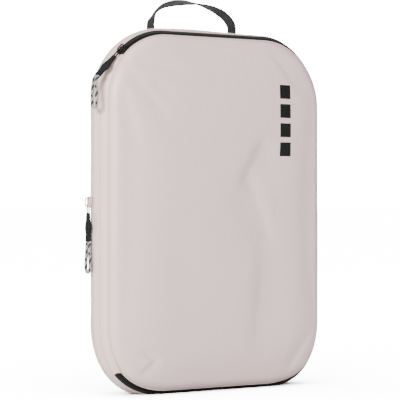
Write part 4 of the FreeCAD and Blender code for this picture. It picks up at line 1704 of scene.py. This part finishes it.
MAIN_CORD = PullCord(
    "main_cord_loop",
    "main_puller",
    "main",
    (
        (-0.1373, -0.0288, 0.3068),
        (-0.1394, -0.0289, 0.3046),
        (-0.1407, -0.0294, 0.3004),
        (-0.1412, -0.0306, 0.2930),
        (-0.1411, -0.0315, 0.2850),
        (-0.1409, -0.0313, 0.2804),
        (-0.1408, -0.0288, 0.2778),
        (-0.1407, -0.0252, 0.2777),
        (-0.1406, -0.0227, 0.2803),
        (-0.1407, -0.0224, 0.2852),
        (-0.1409, -0.0231, 0.2930),
        (-0.1408, -0.0245, 0.3006),
        (-0.1400, -0.0250, 0.3049),
        (-0.1381, -0.0252, 0.3076),
    ),
    0.064,
)
COMPRESSION_CORD = PullCord(
    "compression_cord_loop",
    "compression_puller",
    "compression",
    (
        (-0.13585, -0.0097, 0.1488),
        (-0.1359, -0.0098, 0.1442),
        (-0.1360, -0.0107, 0.1366),
        (-0.1361, -0.0116, 0.1277),
        (-0.1361, -0.0114, 0.1217),
        (-0.1361, -0.0093, 0.1196),
        (-0.1361, -0.0063, 0.1196),
        (-0.1361, -0.0042, 0.1217),
        (-0.1361, -0.0040, 0.1276),
        (-0.1360, -0.0048, 0.1364),
        (-0.1359, -0.0058, 0.1440),
        (-0.13585, -0.0059, 0.1488),
    ),
    0.061,
)


# ---------------------------------------------------------------- handle


@dataclass(frozen=True)
class Handle:
    """Carry handle of flat webbing, sewn upright into the top at both ends and a little twisted."""

    span: float = 0.100
    width: float = 0.013
    webbing: float = 0.0013
    lean: float = 0.0040
    foot: float = 0.0015
    bend_height: float = 0.009
    arch_rise: float = 0.0250
    fullness: float = 0.0020
    stops: tuple[float, ...] = (0.0, 0.10, 0.17, 0.27, 0.36, 0.44, 0.50, 0.58, 0.66, 0.75, 0.81, 0.88, 1.0)
    rolls: tuple[float, ...] = (0.0, 4.0, 8.0, 12.0, 4.0, -9.0, -24.0, -28.0, -17.0, 8.0, 17.0, 2.0, 0.0)
    thin_edge: float = 0.25
    rib_height: float = 0.00007
    columns: int = 160
    leg_rows: int = 13
    rows: int = 24

    def build(self, shell: Shell) -> None:
        """Carry the webbing's flat section along the arch.

        The arch is half an ellipse on two legs, its crown leaning left: x = span / 2 cos t - lean sin^2 t.
        The section rolls about the arch's own line by a few degrees that change along it.

        Args:
            shell: the top that the handle is sewn to.
        """
        low, high = corners("handle_strap")
        depth = (low[1] + high[1]) / 2
        base = high[2] + self.fullness - self.webbing / 2 - self.arch_rise
        turn = np.linspace(0, np.pi, self.columns)
        arch_x = self.span / 2 * np.cos(turn) - self.lean * np.sin(turn) ** 2
        arch_z = base + self.arch_rise * np.sin(turn)
        top = shell.point(shell.length * 0.25, depth)[2] - self.foot
        leg_z = top + (base - top) * np.linspace(0, 1, self.leg_rows + 1)[:-1]
        x = np.pad(arch_x, self.leg_rows, mode="edge")
        z = np.concatenate([leg_z, arch_z, leg_z[::-1]])
        path = np.stack([x, np.full_like(x, depth), z], axis=-1)
        roll = np.radians(np.interp(np.linspace(0, 1, len(path)), self.stops, self.rolls))
        forward = unit(np.gradient(path, axis=0))
        flat = np.array([0.0, 1.0, 0.0])
        face = unit(np.cross(forward, flat))
        across = np.cos(roll)[:, None] * flat + np.sin(roll)[:, None] * face
        out = np.cos(roll)[:, None] * face - np.sin(roll)[:, None] * flat
        line = np.linspace(-1, 1, self.rows + 1)
        thick = self.webbing / 2 * (1 - self.thin_edge * line**6)
        ribs = self.rib_height * np.sin(7 * np.pi * line)
        half = self.width / 2
        upper = self._side(path, across, out, line * half, thick + ribs)
        under = self._side(path, across, out, line * half, -thick - ribs)[:, ::-1]
        section = capped(np.concatenate([upper, under], axis=1))
        widths = np.concatenate([line, line[::-1], line[:1]]) * half
        uv = uv_grid(with_ends(run_along(path)), widths)[..., ::-1]
        obj = grid_object("handle_webbing", section, uv, wrap_v=True)
        BLACK_WEBBING.dress(obj)
        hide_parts("handle_strap")
        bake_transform(obj)
        self._tacks(path, across, out)
        LOG.info("handle")

    def _side(self, path: Array, across: Array, out: Array, places: Array, heights: Array) -> Array:
        """One face of the webbing: path + across place + out height, on a grid."""
        return path[:, None] + across[:, None] * places[None, :, None] + out[:, None] * heights[None, :, None]

    def _tacks(self, path: Array, across: Array, out: Array) -> None:
        """A bar of stitches across each foot of the webbing, on both faces."""
        for name, index in (("left", -9), ("right", 8)):
            for face, sign in (("outer", 1.0), ("inner", -1.0)):
                ends = np.linspace(-0.42, 0.42, 20)[:, None] * self.width * across[index]
                line = path[index] + ends + sign * out[index] * self.webbing / 2
                outward = np.tile(sign * out[index], (len(line), 1))
                row = StitchRow(f"tack_{name}_{face}", "rear_tub", pitch=0.0012, length=0.0011)
                row.build(line, outward, BLACK_THREAD)


# ---------------------------------------------------------------- studio


@dataclass(frozen=True)
class Studio:
    """Pale floor, soft light and the camera."""

    azimuth: float = 35.15
    distance: float = 1.872
    height: float = 0.189
    aside: float = 0.0164
    lens: float = 169.9
    sky: float = 0.42
    backdrop: float = 20.0
    floor_light: float = 56.0
    floor_light_angle: float = 100.0
    lamps: tuple[tuple[str, tuple[float, float, float], float, float], ...] = (
        ("key", (-2.7, -1.4, 1.6), 1.1, 212.0),
        ("fill", (1.4, -3.0, 0.9), 2.4, 16.0),
        ("top", (0.2, 0.4, 3.0), 2.0, 30.0),
    )

    def camera(self, shell: Shell) -> None:
        """Level camera to the left of the front, its axis a little left of the outline's centre."""
        turn = math.radians(self.azimuth)
        ahead = np.array([math.sin(turn), math.cos(turn), 0.0])
        right = np.array([math.cos(turn), -math.sin(turn), 0.0])
        centre = np.array([0.0, shell.seam, 0.0])
        place = centre - self.distance * ahead - self.aside * right
        data = bpy.data.cameras.new("camera")
        data.lens = self.lens
        data.clip_start, data.clip_end = 0.05, 60.0
        obj = bpy.data.objects.new("camera", data)
        obj.location = (place[0], place[1], self.height)
        obj.rotation_euler = (math.pi / 2, 0.0, -turn)
        bpy.context.scene.collection.objects.link(obj)
        bpy.context.scene.camera = obj

    def build(self) -> None:
        """Floor, lamps and sky."""
        for lamp in self.lamps:
            self._lamp(*lamp)
        self._floor_light(self._floor())
        world = bpy.data.worlds.new("sky")
        world.use_nodes = True
        sketch = Sketch(world.node_tree)
        seen = sketch.add("LightPath").outputs["Is Camera Ray"]
        background = world.node_tree.nodes["Background"]
        background.inputs["Color"].default_value = (1.0, 1.0, 1.0, 1.0)
        sketch.join(background.inputs["Strength"], sketch.span(seen, self.sky, self.backdrop))
        bpy.context.scene.world = world
        LOG.info("studio")

    def _floor(self) -> bpy.types.Object:
        """Flat pale floor, far larger than the view, which throws little light back onto the bag."""
        line = np.linspace(-40, 40, 3)
        x, y = np.meshgrid(line, line, indexing="ij")
        points = np.stack([x, y, np.zeros_like(x)], axis=-1)
        obj = grid_object("floor", points, points[..., :2])
        material = bpy.data.materials.new("pale floor")
        material.use_nodes = True
        sketch = Sketch(material.node_tree)
        noise = sketch.add("TexNoise", {"Vector": sketch.add("TexCoord").outputs["Object"], "Scale": 6.0})
        shader = material.node_tree.nodes["Principled BSDF"]
        tint = sketch.blend(noise.outputs[0], (0.95, 0.95, 0.95, 1.0), (0.93, 0.93, 0.93, 1.0))
        seen = sketch.add("LightPath").outputs["Is Camera Ray"]
        sketch.join(shader.inputs["Base Color"], sketch.blend(seen, (0.10, 0.10, 0.10, 1.0), tint))
        shader.inputs["Roughness"].default_value = 1.0
        shader.inputs["Specular IOR Level"].default_value = 0.0
        obj.data.materials.append(material)
        return obj

    def _floor_light(self, floor: bpy.types.Object) -> None:
        """Wide soft light that falls on the floor alone, with the bag's shadow in it."""
        data = bpy.data.lights.new("floor light", "SUN")
        data.energy = self.floor_light
        data.angle = math.radians(self.floor_light_angle)
        obj = bpy.data.objects.new("floor light", data)
        obj.rotation_euler = (math.radians(12), math.radians(-22), 0.0)
        bpy.context.scene.collection.objects.link(obj)
        only_floor = bpy.data.collections.new("floor only")
        only_floor.objects.link(floor)
        obj.light_linking.receiver_collection = only_floor

    def _lamp(self, name: str, place: tuple[float, float, float], size: float, power: float) -> None:
        """Square soft lamp turned to the bag."""
        data = bpy.data.lights.new(name, "AREA")
        data.size = size
        data.energy = power
        obj = bpy.data.objects.new(name, data)
        obj.location = place
        aim = unit(np.array([0.0, 0.0, 0.17]) - np.array(place))
        obj.rotation_euler = (math.acos(-aim[2]), 0.0, math.atan2(aim[1], aim[0]) - math.pi / 2)
        bpy.context.scene.collection.objects.link(obj)


def main() -> None:
    """Build the camera, the cords and then every other piece."""
    logging.basicConfig(level=logging.INFO, format="%(name)s: %(message)s")
    shell = Shell.from_frame()
    studio = Studio()
    studio.camera(shell)
    MAIN_CORD.build()
    COMPRESSION_CORD.build()
    slope = math.sqrt(0.5)
    main_place = SliderPlace.from_joint("main", "main_puller_swing", np.array([-slope, 0.0, -slope]))
    side_place = SliderPlace.from_joint("compression", "compression_puller_swing", np.array([0.0, 0.0, -1.0]))
    SliderSet(main_place, "main_slider", "main_puller", BLACK_METAL, GRIP_RUBBER).build()
    SliderSet(side_place, "compression_slider", "compression_puller", CREAM_METAL, CREAM_METAL).build()
    Bag(shell).build()
    Handle().build(shell)
    studio.build()


if __name__ == "__main__":
    main()
